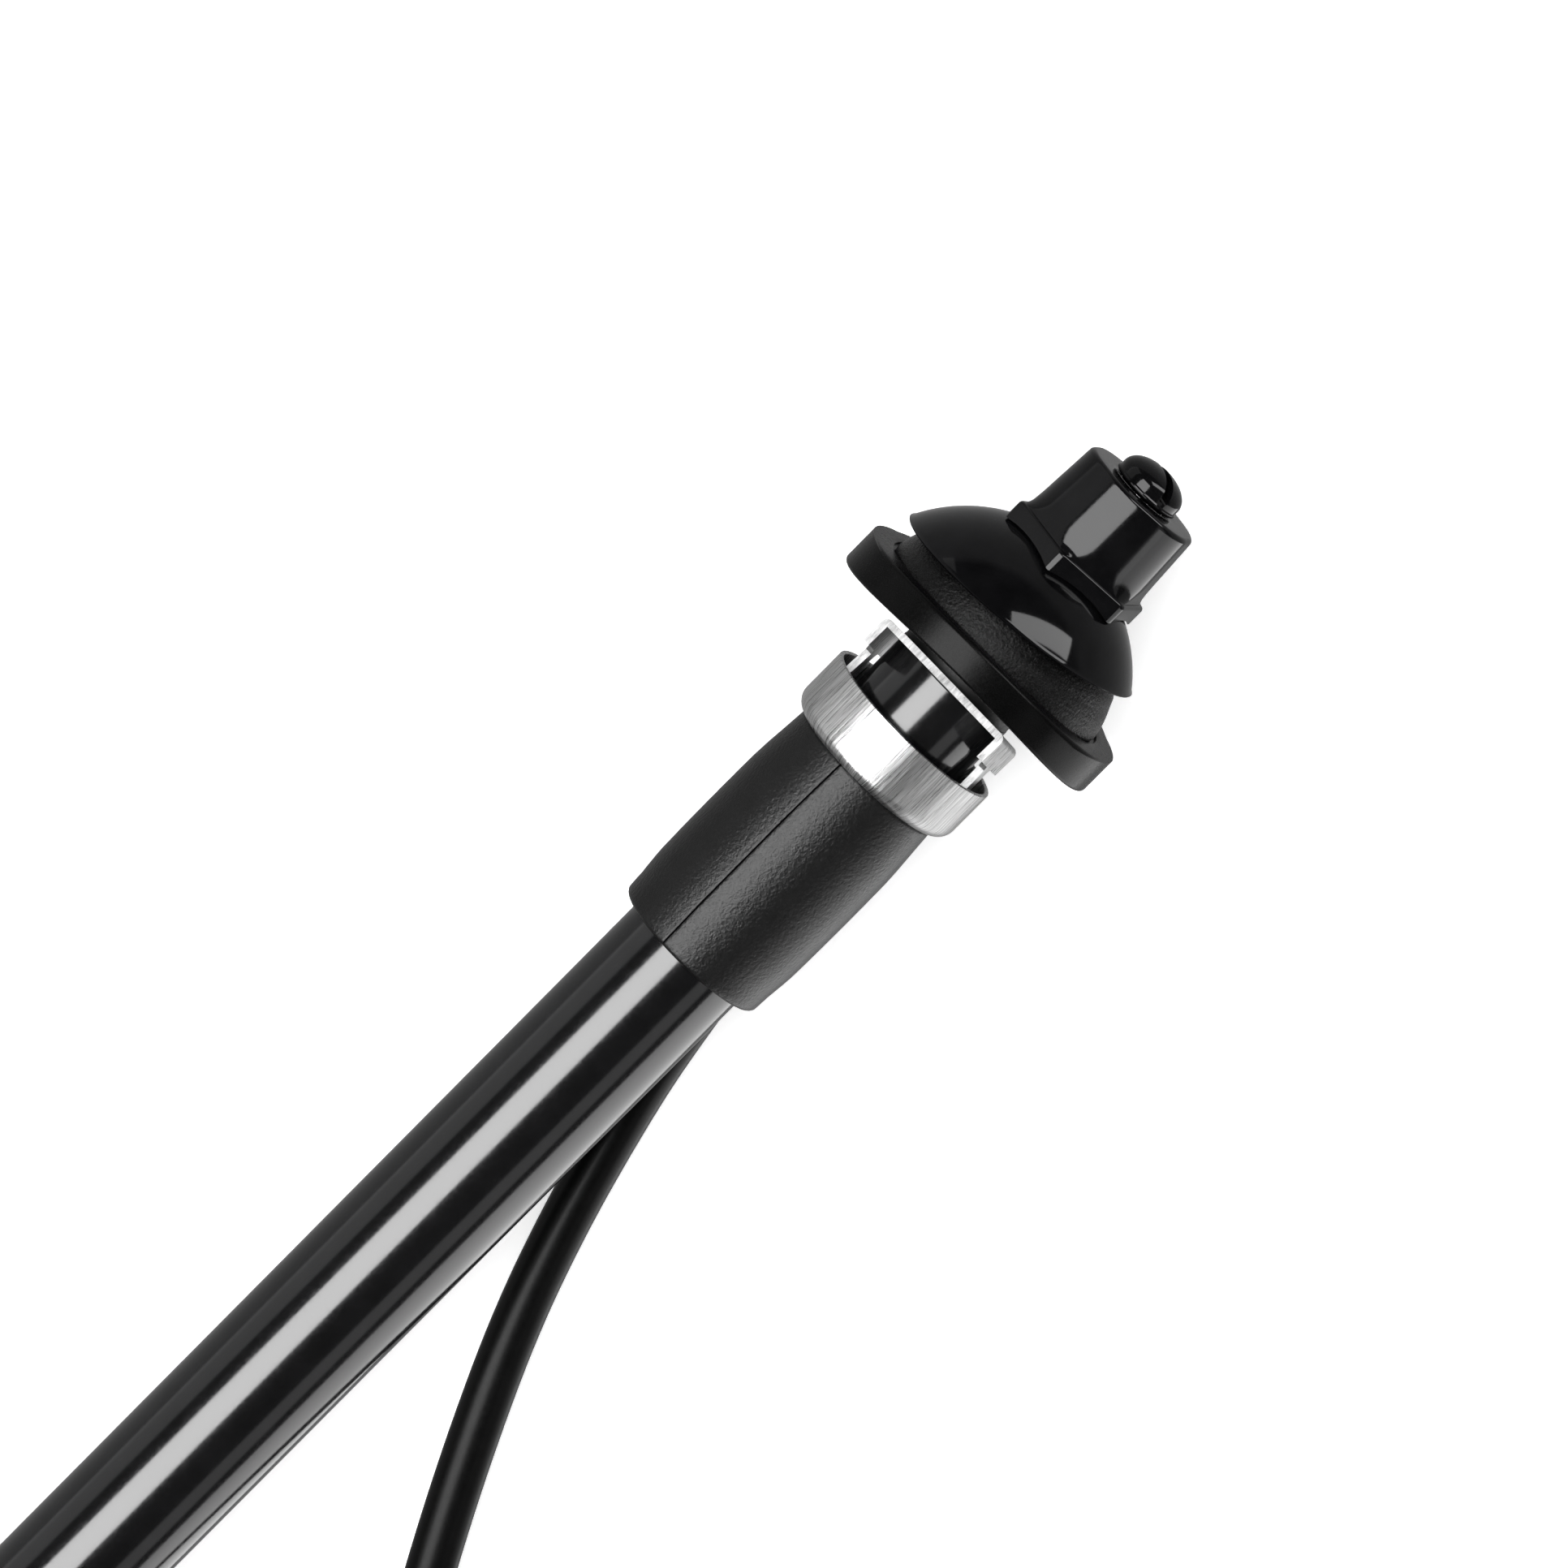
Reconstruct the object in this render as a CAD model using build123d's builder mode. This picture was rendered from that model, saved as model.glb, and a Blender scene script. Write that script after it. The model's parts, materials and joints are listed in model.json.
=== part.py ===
"""Retractable wing-mount radio antenna: swivelling head stack, claw clamp, feeder sleeve, housing tube,
four-stage mast and coaxial lead with its plug. Millimetres, +Z up, lying on the plane Z = 0.

Axial sizes are measured along the mast from the panel reference (z = 0, towards the tip positive).
"""

from build123d import *
import math
import os

os.makedirs("parts", exist_ok=True)

# ---------------------------------------------------------------- driving dimensions
TUBE_R = 7.5            # housing tube, outside radius
TUBE_WALL = 1.0
TUBE_TOP = 6.0          # axial
TUBE_BOTTOM = -290.0
CAP_R = 8.25            # lower end cap
CAP_BOTTOM = -294.0
PAD_R = 17.55
PAD_BOTTOM = 4.1        # underside at the middle
PAD_TOP = 7.75          # upper face at the middle
PAD_UNDER_R = 67.0      # curvature of the underside
PAD_UPPER_R = 96.0      # curvature of the upper face
BALL_Z = 2.08           # common centre of the seat and dome spheres
DOME_R = 17.6
DOME_RIM = 9.14         # rim plane above the ball centre
DOME_TILT = 5.4         # degrees, about the up direction
SEAT_BALL_R = 15.8
NECK_R = 4.5
NUT_BORE_R = 4.58
NUT_TOP = 29.0
NUT_AF = 16.0           # collar across flats
NUT_TURN = -10.4        # azimuth of one collar corner, degrees
CUP_R = 10.85
CUP_WALL = 0.5
CUP_TOP = -5.6
CUP_BOTTOM = -12.7
SHEET = 0.8             # claw bracket sheet
CLAW_SPAN = 18.0        # outside of leg to outside of leg
CLAW_WIDTH = 17.6
CLAW_TURN = 7.2         # degrees about the mast
CLAW_TILT = 10.0        # degrees, upper edge towards the tip
CLAW_Z = -0.17
SLEEVE_BOTTOM = -39.9
SEAM_AZ = -16.0         # azimuth of the sleeve's seam
LEAD_R = 2.75
LEAD_OFF = 11.6         # lead axis from mast axis at the outlet
M1_R, M2_R, M3_R, ROD_R = 3.1, 2.5, 1.9, 1.3
M_WALL = 0.35
COIL_IN, COIL_STEP, COIL_OUT = 20.75, 31.75, 37.25
COIL_LOW, COIL_H = 5.6, 11.0      # the outermost turn has none on top of it

# ---------------------------------------------------------------- frames
SLOPE = math.degrees(math.atan2(PAD_R - CAP_R, PAD_BOTTOM - CAP_BOTTOM))
CA, SA = math.cos(math.radians(SLOPE)), math.sin(math.radians(SLOPE))
X0 = 130.43             # panel reference along X, so that the origin is under the middle of the object
Z0 = PAD_R * CA - PAD_BOTTOM * SA
AX_DIR = Vector(CA, 0, SA)      # towards the tip
UP_DIR = Vector(-SA, 0, CA)     # away from the table
SIDE_DIR = Vector(0, -1, 0)     # azimuth +90
ORIGIN = Vector(X0, 0, Z0)


def at(up, side, z):
    return ORIGIN + UP_DIR * up + SIDE_DIR * side + AX_DIR * z


def cross(z=0.0, azimuth=0.0):
    """Plane square to the mast at height z, its x direction at that azimuth."""
    c, s = math.cos(math.radians(azimuth)), math.sin(math.radians(azimuth))
    return Plane(origin=at(0, 0, z), x_dir=UP_DIR * c + SIDE_DIR * s, z_dir=AX_DIR)


def axial(azimuth=0.0):
    """Plane through the mast axis: x is the radius at that azimuth, y is the height."""
    c, s = math.cos(math.radians(azimuth)), math.sin(math.radians(azimuth))
    return Plane(origin=ORIGIN, x_dir=UP_DIR * c + SIDE_DIR * s, z_dir=UP_DIR * s - SIDE_DIR * c)


MAST_AXIS = Axis(origin=tuple(ORIGIN), direction=tuple(AX_DIR))
RZ = axial()

# ---------------------------------------------------------------- mast, rod first
with BuildPart() as tip_button:
    with BuildSketch(RZ):
        with BuildLine():
            Polyline((0, 29.08), (3.75, 29.08), (4.05, 29.35), (4.05, 29.8), (3.85, 30.0), (3.85, 31.3))
            ThreePointArc((3.85, 31.3), (2.55, 32.36), (0, 32.8))
            Line((0, 32.8), (0, 29.08))
        make_face()
    revolve(axis=MAST_AXIS)
    with BuildSketch(cross(33.2, 33)):
        Rectangle(9.0, 1.0)
    extrude(amount=-2.6, mode=Mode.SUBTRACT)
    with BuildSketch(cross(29.0)):
        Circle(0.9)
    extrude(amount=1.3, mode=Mode.SUBTRACT)
tip_button.part.label = "tip_button"
export_step(tip_button.part, "parts/tip_button.step")

with BuildPart() as mast_rod:
    with BuildSketch(RZ):
        with BuildLine():
            Polyline((0, -246), (ROD_R, -246), (ROD_R, 29.08), (0.9, 29.08), (0.9, 30.25), (0, 30.25), close=True)
        make_face()
    revolve(axis=MAST_AXIS)
mast_rod.part.label = "mast_rod"
export_step(mast_rod.part, "parts/mast_rod.step")

with BuildPart() as rod_foot:
    with BuildSketch(RZ):
        with BuildLine():
            Polyline((ROD_R, -245.8), (1.48, -245.8), (1.5, -245.5), (1.5, -236.5), (1.42, -236), (ROD_R, -236), close=True)
        make_face()
    revolve(axis=MAST_AXIS)
rod_foot.part.label = "rod_foot"
export_step(rod_foot.part, "parts/rod_foot.step")


with BuildPart() as mast_stage_3:
    with BuildSketch(RZ):
        with BuildLine():
            Polyline((M3_R - M_WALL, -252), (M3_R, -252), (M3_R, 28.6), (M3_R - 0.2, 28.9), (1.35, 28.9), (1.35, 25.9), (M3_R - M_WALL, 25.6), close=True)
        make_face()
    revolve(axis=MAST_AXIS)
mast_stage_3.part.label = "mast_stage_3"
export_step(mast_stage_3.part, "parts/mast_stage_3.step")

with BuildPart() as stage_3_foot:
    with BuildSketch(RZ):
        with BuildLine():
            Polyline((M3_R, -251.8), (2.05, -251.8), (2.1, -251.4), (2.1, -242.5), (2.0, -242), (M3_R, -242), close=True)
        make_face()
    revolve(axis=MAST_AXIS)
stage_3_foot.part.label = "stage_3_foot"
export_step(stage_3_foot.part, "parts/stage_3_foot.step")

with BuildPart() as mast_stage_2:
    with BuildSketch(RZ):
        with BuildLine():
            Polyline((M2_R - M_WALL, -258), (M2_R, -258), (M2_R, 28.6), (M2_R - 0.2, 28.9), (1.95, 28.9), (1.95, 25.9), (M2_R - M_WALL, 25.6), close=True)
        make_face()
    revolve(axis=MAST_AXIS)
mast_stage_2.part.label = "mast_stage_2"
export_step(mast_stage_2.part, "parts/mast_stage_2.step")

with BuildPart() as stage_2_foot:
    with BuildSketch(RZ):
        with BuildLine():
            Polyline((M2_R, -257.8), (2.65, -257.8), (2.7, -257.4), (2.7, -248.5), (2.6, -248), (M2_R, -248), close=True)
        make_face()
    revolve(axis=MAST_AXIS)
stage_2_foot.part.label = "stage_2_foot"
export_step(stage_2_foot.part, "parts/stage_2_foot.step")

with BuildPart() as mast_stage_1:
    with BuildSketch(RZ):
        with BuildLine():
            Polyline((M1_R - M_WALL, -266), (M1_R, -266), (M1_R, 28.6), (M1_R - 0.2, 28.9), (2.55, 28.9), (2.55, 25.9), (M1_R - M_WALL, 25.6), close=True)
        make_face()
    revolve(axis=MAST_AXIS)
mast_stage_1.part.label = "mast_stage_1"
export_step(mast_stage_1.part, "parts/mast_stage_1.step")

with BuildPart() as stage_1_foot:
    with BuildSketch(RZ):
        with BuildLine():
            Polyline((0, -278), (5.6, -278), (6.2, -277.2), (6.2, -272), (5.2, -271.2), (5.2, -268.8), (6.2, -268),
                     (6.2, -263), (5.4, -262), (M1_R, -262), (M1_R, -266), (0, -266), close=True)
        make_face()
    revolve(axis=MAST_AXIS)
stage_1_foot.part.label = "stage_1_foot"
export_step(stage_1_foot.part, "parts/stage_1_foot.step")

# ---------------------------------------------------------------- head nut, its seal and the slip ring
with BuildPart() as head_nut:
    # rounded hexagonal barrel that narrows towards the tip
    with BuildSketch(cross(19.6, NUT_TURN)):
        RegularPolygon(radius=14.7 / 2, side_count=6, major_radius=False)
        fillet(vertices(), 3.7)
    with BuildSketch(cross(NUT_TOP, NUT_TURN)):
        RegularPolygon(radius=13.7 / 2, side_count=6, major_radius=False)
        fillet(vertices(), 3.7)
    loft()
    top_edges = edges().group_by(Axis(origin=tuple(ORIGIN), direction=tuple(AX_DIR)))[-1]
    fillet(top_edges, 0.55)
    # collar
    with BuildSketch(cross(16.4, NUT_TURN)):
        RegularPolygon(radius=NUT_AF / 2, side_count=6, major_radius=False)
        fillet(vertices(), 0.9)
    extrude(amount=3.5)
    # flare from the collar to the barrel
    with BuildSketch(cross(19.9, NUT_TURN)):
        RegularPolygon(radius=NUT_AF / 2, side_count=6, major_radius=False)
        fillet(vertices(), 0.9)
    with BuildSketch(cross(20.7, NUT_TURN)):
        RegularPolygon(radius=15.0 / 2, side_count=6, major_radius=False)
        fillet(vertices(), 2.5)
    loft()
    with BuildSketch(cross(20.7, NUT_TURN)):
        RegularPolygon(radius=15.0 / 2, side_count=6, major_radius=False)
        fillet(vertices(), 2.5)
    with BuildSketch(cross(21.9, NUT_TURN)):
        RegularPolygon(radius=14.45 / 2, side_count=6, major_radius=False)
        fillet(vertices(), 3.7)
    loft()
    # spherical underside, slip-ring recess, threaded bore and mast hole
    with BuildSketch(RZ):
        with BuildLine():
            Line((0, 10), (0, BALL_Z + DOME_R + 0.15))
            ThreePointArc((0, BALL_Z + DOME_R + 0.15),
                          (17.75 * math.sin(math.radians(20)), BALL_Z + 17.75 * math.cos(math.radians(20))),
                          (17.75 * math.sin(math.radians(40)), BALL_Z + 17.75 * math.cos(math.radians(40))))
            Polyline((17.75 * math.sin(math.radians(40)), BALL_Z + 17.75 * math.cos(math.radians(40))), (11.41, 10), (0, 10))
        make_face()
    revolve(axis=MAST_AXIS, mode=Mode.SUBTRACT)
    with BuildSketch(RZ):
        with BuildLine():
            Polyline((0, 17), (7.3, 17), (7.3, 20.1), (NUT_BORE_R, 20.1), (NUT_BORE_R, 26.6), (3.4, 26.6), (3.4, 28.7),
                     (3.7, 29.3), (0, 29.3), close=True)
        make_face()
    revolve(axis=MAST_AXIS, mode=Mode.SUBTRACT)
head_nut.part.label = "head_nut"
export_step(head_nut.part, "parts/head_nut.step")

with BuildPart() as wiper_seal:
    with BuildSketch(RZ):
        with BuildLine():
            Polyline((3.16, 26.15), (3.5, 26.0), (4.56, 26.0), (4.56, 26.58), (3.5, 26.58), (3.16, 26.4), close=True)
        make_face()
    revolve(axis=MAST_AXIS)
wiper_seal.part.label = "wiper_seal"
export_step(wiper_seal.part, "parts/wiper_seal.step")


def ball(radius, r):
    """Height of a sphere about the ball centre at radius r from the mast."""
    return BALL_Z + math.sqrt(radius * radius - r * r)


with BuildPart() as slip_ring:
    with BuildSketch(RZ):
        with BuildLine():
            ThreePointArc((5.3, ball(17.75, 5.3)), (6.2, ball(17.75, 6.2)), (7.1, ball(17.75, 7.1)))
            Polyline((7.1, ball(17.75, 7.1)), (7.1, 19.98), (5.3, 19.98), (5.3, ball(17.75, 5.3)))
        make_face()
    revolve(axis=MAST_AXIS)
slip_ring.part.label = "slip_ring"
export_step(slip_ring.part, "parts/slip_ring.step")

# ---------------------------------------------------------------- dome, seat and pad
# The dome's own axis leans by DOME_TILT about the up direction, through the ball centre.
t = math.radians(DOME_TILT)
DOME_AX = AX_DIR * math.cos(t) - SIDE_DIR * math.sin(t)
DOME_SIDE = SIDE_DIR * math.cos(t) + AX_DIR * math.sin(t)
BALL = at(0, 0, BALL_Z)
DOME_RZ = Plane(origin=BALL, x_dir=UP_DIR, z_dir=DOME_SIDE * -1)
DOME_IN = DOME_R - 1.3


def cap_z(radius, r):
    return math.sqrt(radius * radius - r * r)


rim_out = math.sqrt(DOME_R ** 2 - DOME_RIM ** 2)
rim_in = math.sqrt(DOME_IN ** 2 - DOME_RIM ** 2)
with BuildPart() as dome_cap:
    with BuildSketch(DOME_RZ):
        with BuildLine():
            ThreePointArc((6.4, cap_z(DOME_R, 6.4)), (11, cap_z(DOME_R, 11)), (rim_out, DOME_RIM))
            Line((rim_out, DOME_RIM), (rim_in, DOME_RIM))
            ThreePointArc((rim_in, DOME_RIM), (10, cap_z(DOME_IN, 10)), (6.4, cap_z(DOME_IN, 6.4)))
            Line((6.4, cap_z(DOME_IN, 6.4)), (6.4, cap_z(DOME_R, 6.4)))
        make_face()
    revolve(axis=Axis(origin=tuple(BALL), direction=tuple(DOME_AX)))
    fillet(edges().group_by(Axis(origin=tuple(BALL), direction=tuple(DOME_AX)))[0], 0.3)
dome_cap.part.label = "dome_cap"
export_step(dome_cap.part, "parts/dome_cap.step")

SEAT_TOP_R = 7.4
with BuildPart() as swivel_seat:
    with BuildSketch(RZ):
        with BuildLine():
            Polyline((8.8, 6.3), (14.3, 6.3), (14.46, 6.6))
            Spline((14.46, 6.6), (14.05, 8.6), (13.05, ball(SEAT_BALL_R, 13.05)), tangents=[(-0.05, 1), (-0.55, 0.83)])
            ThreePointArc((13.05, ball(SEAT_BALL_R, 13.05)), (10.5, ball(SEAT_BALL_R, 10.5)), (SEAT_TOP_R, ball(SEAT_BALL_R, SEAT_TOP_R)))
            Polyline((SEAT_TOP_R, ball(SEAT_BALL_R, SEAT_TOP_R)), (SEAT_TOP_R, 13.2), (8.8, 11.6), (8.8, 6.3))
        make_face()
    revolve(axis=MAST_AXIS)
swivel_seat.part.label = "swivel_seat"
export_step(swivel_seat.part, "parts/swivel_seat.step")

# The pad bends across the panel: its section, seen along the up direction, is cut round.
PAD_SIDE = Plane(origin=ORIGIN, x_dir=SIDE_DIR, z_dir=UP_DIR)


def arc_z(top, radius, u):
    return top - (radius - math.sqrt(radius * radius - u * u))


with BuildPart() as rubber_pad:
    with BuildSketch(cross(-3)):
        Circle(PAD_R)
    extrude(amount=15)
    with BuildSketch(PAD_SIDE) as pad_profile:
        with BuildLine():
            ThreePointArc((-18.5, arc_z(PAD_BOTTOM, PAD_UNDER_R, 18.5)), (0, PAD_BOTTOM), (18.5, arc_z(PAD_BOTTOM, PAD_UNDER_R, 18.5)))
            Line((18.5, arc_z(PAD_BOTTOM, PAD_UNDER_R, 18.5)), (18.5, arc_z(PAD_TOP, PAD_UPPER_R, 18.5)))
            ThreePointArc((18.5, arc_z(PAD_TOP, PAD_UPPER_R, 18.5)), (0, PAD_TOP), (-18.5, arc_z(PAD_TOP, PAD_UPPER_R, 18.5)))
            Line((-18.5, arc_z(PAD_TOP, PAD_UPPER_R, 18.5)), (-18.5, arc_z(PAD_BOTTOM, PAD_UNDER_R, 18.5)))
        make_face()
    extrude(amount=20, both=True, mode=Mode.INTERSECT)
    fillet(edges().filter_by(lambda e: e.length > 60), 0.5)
    with BuildSketch(cross(6.3)):
        Circle(14.75)
    extrude(amount=5, mode=Mode.SUBTRACT)
    with BuildSketch(cross(0)):
        Circle(8.8)
    extrude(amount=9, mode=Mode.SUBTRACT)
rubber_pad.part.label = "rubber_pad"
export_step(rubber_pad.part, "parts/rubber_pad.step")

# ---------------------------------------------------------------- claw bracket
p, q = math.radians(CLAW_TURN), math.radians(CLAW_TILT)
CLAW_LONG = SIDE_DIR * math.cos(p) + UP_DIR * math.sin(p)
CLAW_ACROSS = UP_DIR * math.cos(p) - SIDE_DIR * math.sin(p)
CLAW_NORMAL = AX_DIR * math.cos(q) - CLAW_ACROSS * math.sin(q)
CLAW_ACROSS_T = CLAW_ACROSS * math.cos(q) + AX_DIR * math.sin(q)
CLAW_ORIGIN = at(0, 0, CLAW_Z)
CLAW_PLATE = Plane(origin=CLAW_ORIGIN - CLAW_NORMAL * (SHEET / 2), x_dir=CLAW_LONG, z_dir=CLAW_NORMAL)
# section across the bracket: x along its length, y along its normal
CLAW_SIDE = Plane(origin=CLAW_ORIGIN, x_dir=CLAW_LONG, z_dir=CLAW_ACROSS_T)
h = CLAW_SPAN / 2
FOOT = h + 8.0 * math.tan(math.radians(2.0))     # outside of a foot

with BuildPart() as claw_bracket:
    with BuildSketch(CLAW_SIDE):
        with BuildLine():
            Polyline((-h, 0.4), (-h, -3.6), (-FOOT, -11.6), (-FOOT + SHEET, -11.6), (-h + SHEET, -3.6),
                     (-h + SHEET, -0.4), (h - SHEET, -0.4), (h - SHEET, -3.6), (FOOT - SHEET, -11.6),
                     (FOOT, -11.6), (h, -3.6), (h, 0.4), close=True)
        make_face()
    extrude(amount=CLAW_WIDTH / 2, both=True)
    # round the two bends on the outside
    bends = edges().filter_by(Axis(origin=(0, 0, 0), direction=tuple(CLAW_ACROSS_T))).filter_by(
        lambda e: abs((e.center() - CLAW_ORIGIN).dot(CLAW_NORMAL) - 0.4) < 0.01)
    fillet(bends, 0.75)
    # upper tabs keep the full width, the lower legs are narrow
    for side in (-1, 1):
        with BuildSketch(Plane(origin=CLAW_ORIGIN + CLAW_LONG * (side * 6.0), x_dir=CLAW_ACROSS_T * -side, z_dir=CLAW_LONG * side)):
            with BuildLine():
                Polyline((1.8, -20), (12, -20), (12, -3.1), (2.3, -3.1), (1.8, -3.6), (1.8, -11.2), (1.4, -11.6), (1.4, -20), close=True)
            make_face()
            with BuildLine():
                Polyline((-1.8, -20), (-12, -20), (-12, -3.1), (-2.3, -3.1), (-1.8, -3.6), (-1.8, -11.2), (-1.4, -11.6), (-1.4, -20), close=True)
            make_face()
        extrude(amount=6, mode=Mode.SUBTRACT)
    with BuildSketch(Plane(origin=CLAW_ORIGIN - CLAW_NORMAL * 2, x_dir=CLAW_LONG, z_dir=CLAW_NORMAL)):
        Circle(7.98)
    extrude(amount=4, mode=Mode.SUBTRACT)
claw_bracket.part.label = "claw_bracket"
export_step(claw_bracket.part, "parts/claw_bracket.step")

# ---------------------------------------------------------------- fixed body: tube, neck, cup, sleeve
with BuildPart() as clamp_cup:
    with BuildSketch(RZ):
        with BuildLine():
            Polyline((8.15, CUP_BOTTOM), (CUP_R, CUP_BOTTOM), (CUP_R, CUP_TOP), (CUP_R - CUP_WALL, CUP_TOP),
                     (CUP_R - CUP_WALL, CUP_BOTTOM + CUP_WALL), (8.15, CUP_BOTTOM + CUP_WALL), close=True)
        make_face()
        fillet([v for v in vertices() if abs(v.X - CUP_R) < 1e-4 and abs(v.Y - CUP_BOTTOM) < 1e-4], 1.8)
        fillet([v for v in vertices() if abs(v.X - CUP_R + CUP_WALL) < 1e-4 and abs(v.Y - CUP_BOTTOM - CUP_WALL) < 1e-4], 1.3)
    revolve(axis=MAST_AXIS)
clamp_cup.part.label = "clamp_cup"
export_step(clamp_cup.part, "parts/clamp_cup.step")

SLOT_TOP = -17.0
with BuildPart() as housing_tube:
    with BuildSketch(cross(TUBE_BOTTOM)):
        Circle(TUBE_R)
        Circle(TUBE_R - TUBE_WALL, mode=Mode.SUBTRACT)
    extrude(amount=TUBE_TOP - TUBE_BOTTOM)
    with BuildSketch(axial(SEAM_AZ - 90)):
        with Locations((0, -19.0)):
            Circle(1.6)
    extrude(amount=9, mode=Mode.SUBTRACT)
housing_tube.part.label = "housing_tube"
export_step(housing_tube.part, "parts/housing_tube.step")

with BuildPart() as threaded_neck:
    with BuildSketch(RZ):
        with BuildLine():
            Polyline((3.62, -10), (TUBE_R - TUBE_WALL, -10), (TUBE_R - TUBE_WALL, 5.2), (NECK_R, 5.8), (NECK_R, 23.4),
                     (NECK_R - 0.3, 23.7), (3.62, 23.7), close=True)
        make_face()
    revolve(axis=MAST_AXIS)
threaded_neck.part.label = "threaded_neck"
export_step(threaded_neck.part, "parts/threaded_neck.step")

with BuildPart() as neck_liner:
    with BuildSketch(RZ):
        with BuildLine():
            Polyline((3.18, -12), (6.4, -12), (6.4, -10), (3.62, -10), (3.62, 23.7), (4.3, 23.7), (4.3, 24.3), (3.18, 24.3), close=True)
        make_face()
    revolve(axis=MAST_AXIS)
neck_liner.part.label = "neck_liner"
export_step(neck_liner.part, "parts/neck_liner.step")

with BuildPart() as contact_holder:
    with BuildSketch(RZ):
        with BuildLine():
            Polyline((4.7, -24), (6.45, -24), (6.45, -12), (4.7, -12), close=True)
        make_face()
    revolve(axis=MAST_AXIS)
    with BuildSketch(axial(SEAM_AZ - 90)):
        with Locations((0, -19.0)):
            Circle(0.8)
    extrude(amount=9, mode=Mode.SUBTRACT)
contact_holder.part.label = "contact_holder"
export_step(contact_holder.part, "parts/contact_holder.step")

with BuildPart() as contact_ring:
    with BuildSketch(RZ):
        with BuildLine():
            Polyline((3.16, -22.2), (3.5, -23.4), (4.7, -23.4), (4.7, -14.6), (3.5, -14.6), (3.16, -15.8), (3.16, -17.2),
                     (3.7, -18), (3.7, -20), (3.16, -20.8), close=True)
        make_face()
    revolve(axis=MAST_AXIS)
    with BuildSketch(cross(-20.6)):
        with PolarLocations(3.5, 4, start_angle=45):
            Rectangle(3.0, 0.5)
    extrude(amount=-4, mode=Mode.SUBTRACT)
contact_ring.part.label = "contact_ring"
export_step(contact_ring.part, "parts/contact_ring.step")

with BuildPart() as bottom_stop:
    with BuildSketch(cross(-289)):
        Circle(6.4)
        Circle(2.0, mode=Mode.SUBTRACT)
    extrude(amount=10.6)
bottom_stop.part.label = "bottom_stop"
export_step(bottom_stop.part, "parts/bottom_stop.step")

with BuildPart() as end_cap:
    with BuildSketch(RZ):
        with BuildLine():
            Polyline((2.0, CAP_BOTTOM), (CAP_R, CAP_BOTTOM), (CAP_R, -282), (TUBE_R, -282), (TUBE_R, TUBE_BOTTOM),
                     (2.0, TUBE_BOTTOM), close=True)
        make_face()
    revolve(axis=MAST_AXIS)
end_cap.part.label = "end_cap"
export_step(end_cap.part, "parts/end_cap.step")

# sleeve: two shells with a swelling on the far side for the lead outlet
LOBE_R = 4.6
OUT_LEAN = math.radians(8.0)
OUT_RADIAL = axial(SEAM_AZ + 180).x_dir
OUT_DIR = AX_DIR * -math.cos(OUT_LEAN) + SIDE_DIR * math.sin(OUT_LEAN)     # the way the lead leaves
OUT_POINT = ORIGIN + OUT_RADIAL * LEAD_OFF + AX_DIR * -34.0
OUT_X = (OUT_RADIAL - OUT_DIR * OUT_RADIAL.dot(OUT_DIR)).normalized()


def outlet(h):
    """Square to the lead at its outlet, h above the reference point."""
    return Plane(origin=OUT_POINT - OUT_DIR * h, x_dir=OUT_X, z_dir=OUT_DIR * -1)


with BuildPart() as sleeve_body:
    with BuildSketch(axial(SEAM_AZ)):
        with BuildLine():
            Line((8.95, SLEEVE_BOTTOM), (9.3, -39.5))
            Spline((9.3, -39.5), (9.4, -37.6), (9.58, -35.8), (9.7, -34.1), (9.79, -27), (9.75, -20),
                   (9.535, -16.6), (9.4, -14.9), (9.25, CUP_BOTTOM), tangents=[(0.03, 1), (-0.06, 1)])
            Polyline((9.25, CUP_BOTTOM), (8.1, CUP_BOTTOM), (8.1, CUP_BOTTOM + CUP_WALL), (TUBE_R, CUP_BOTTOM + CUP_WALL),
                     (TUBE_R, SLEEVE_BOTTOM), (8.95, SLEEVE_BOTTOM))
        make_face()
    revolve(axis=MAST_AXIS)
    with BuildSketch(outlet(-5.9)):
        Circle(LOBE_R)
    extrude(amount=9.4)
    with BuildSketch(outlet(-5.9)):
        with Locations((-3.0, 0)):
            Rectangle(6.0, 2 * LOBE_R)
    extrude(amount=9.4)
    with BuildSketch(outlet(3.5)):
        Circle(LOBE_R)
    with BuildSketch(cross(-15.5, SEAM_AZ + 180)):
        with Locations((7.4, 0)):
            Circle(1.7)
    loft()
    with BuildSketch(cross(-50)):
        Circle(TUBE_R)
    extrude(amount=60, mode=Mode.SUBTRACT)
    # lead passage and wire chamber
    with BuildSketch(outlet(-12)):
        Circle(3.35)
    extrude(amount=14.5, mode=Mode.SUBTRACT)
    with BuildSketch(axial(SEAM_AZ + 180)):
        with BuildLine():
            Polyline((7.0, -31.0), (12.4, -31.8), (12.4, -29.0), (9.2, -24.6), (9.2, -17.6), (7.0, -17.6), close=True)
        make_face()
    extrude(amount=1.2, both=True, mode=Mode.SUBTRACT)
SEAM = axial(SEAM_AZ)
with BuildPart() as sleeve_left:
    add(sleeve_body.part)
    split(bisect_by=SEAM.offset(0.04), keep=Keep.TOP)
sleeve_left.part.label = "sleeve_left"
export_step(sleeve_left.part, "parts/sleeve_left.step")

with BuildPart() as sleeve_right:
    add(sleeve_body.part)
    split(bisect_by=SEAM.offset(-0.04), keep=Keep.BOTTOM)
sleeve_right.part.label = "sleeve_right"
export_step(sleeve_right.part, "parts/sleeve_right.step")

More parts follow.
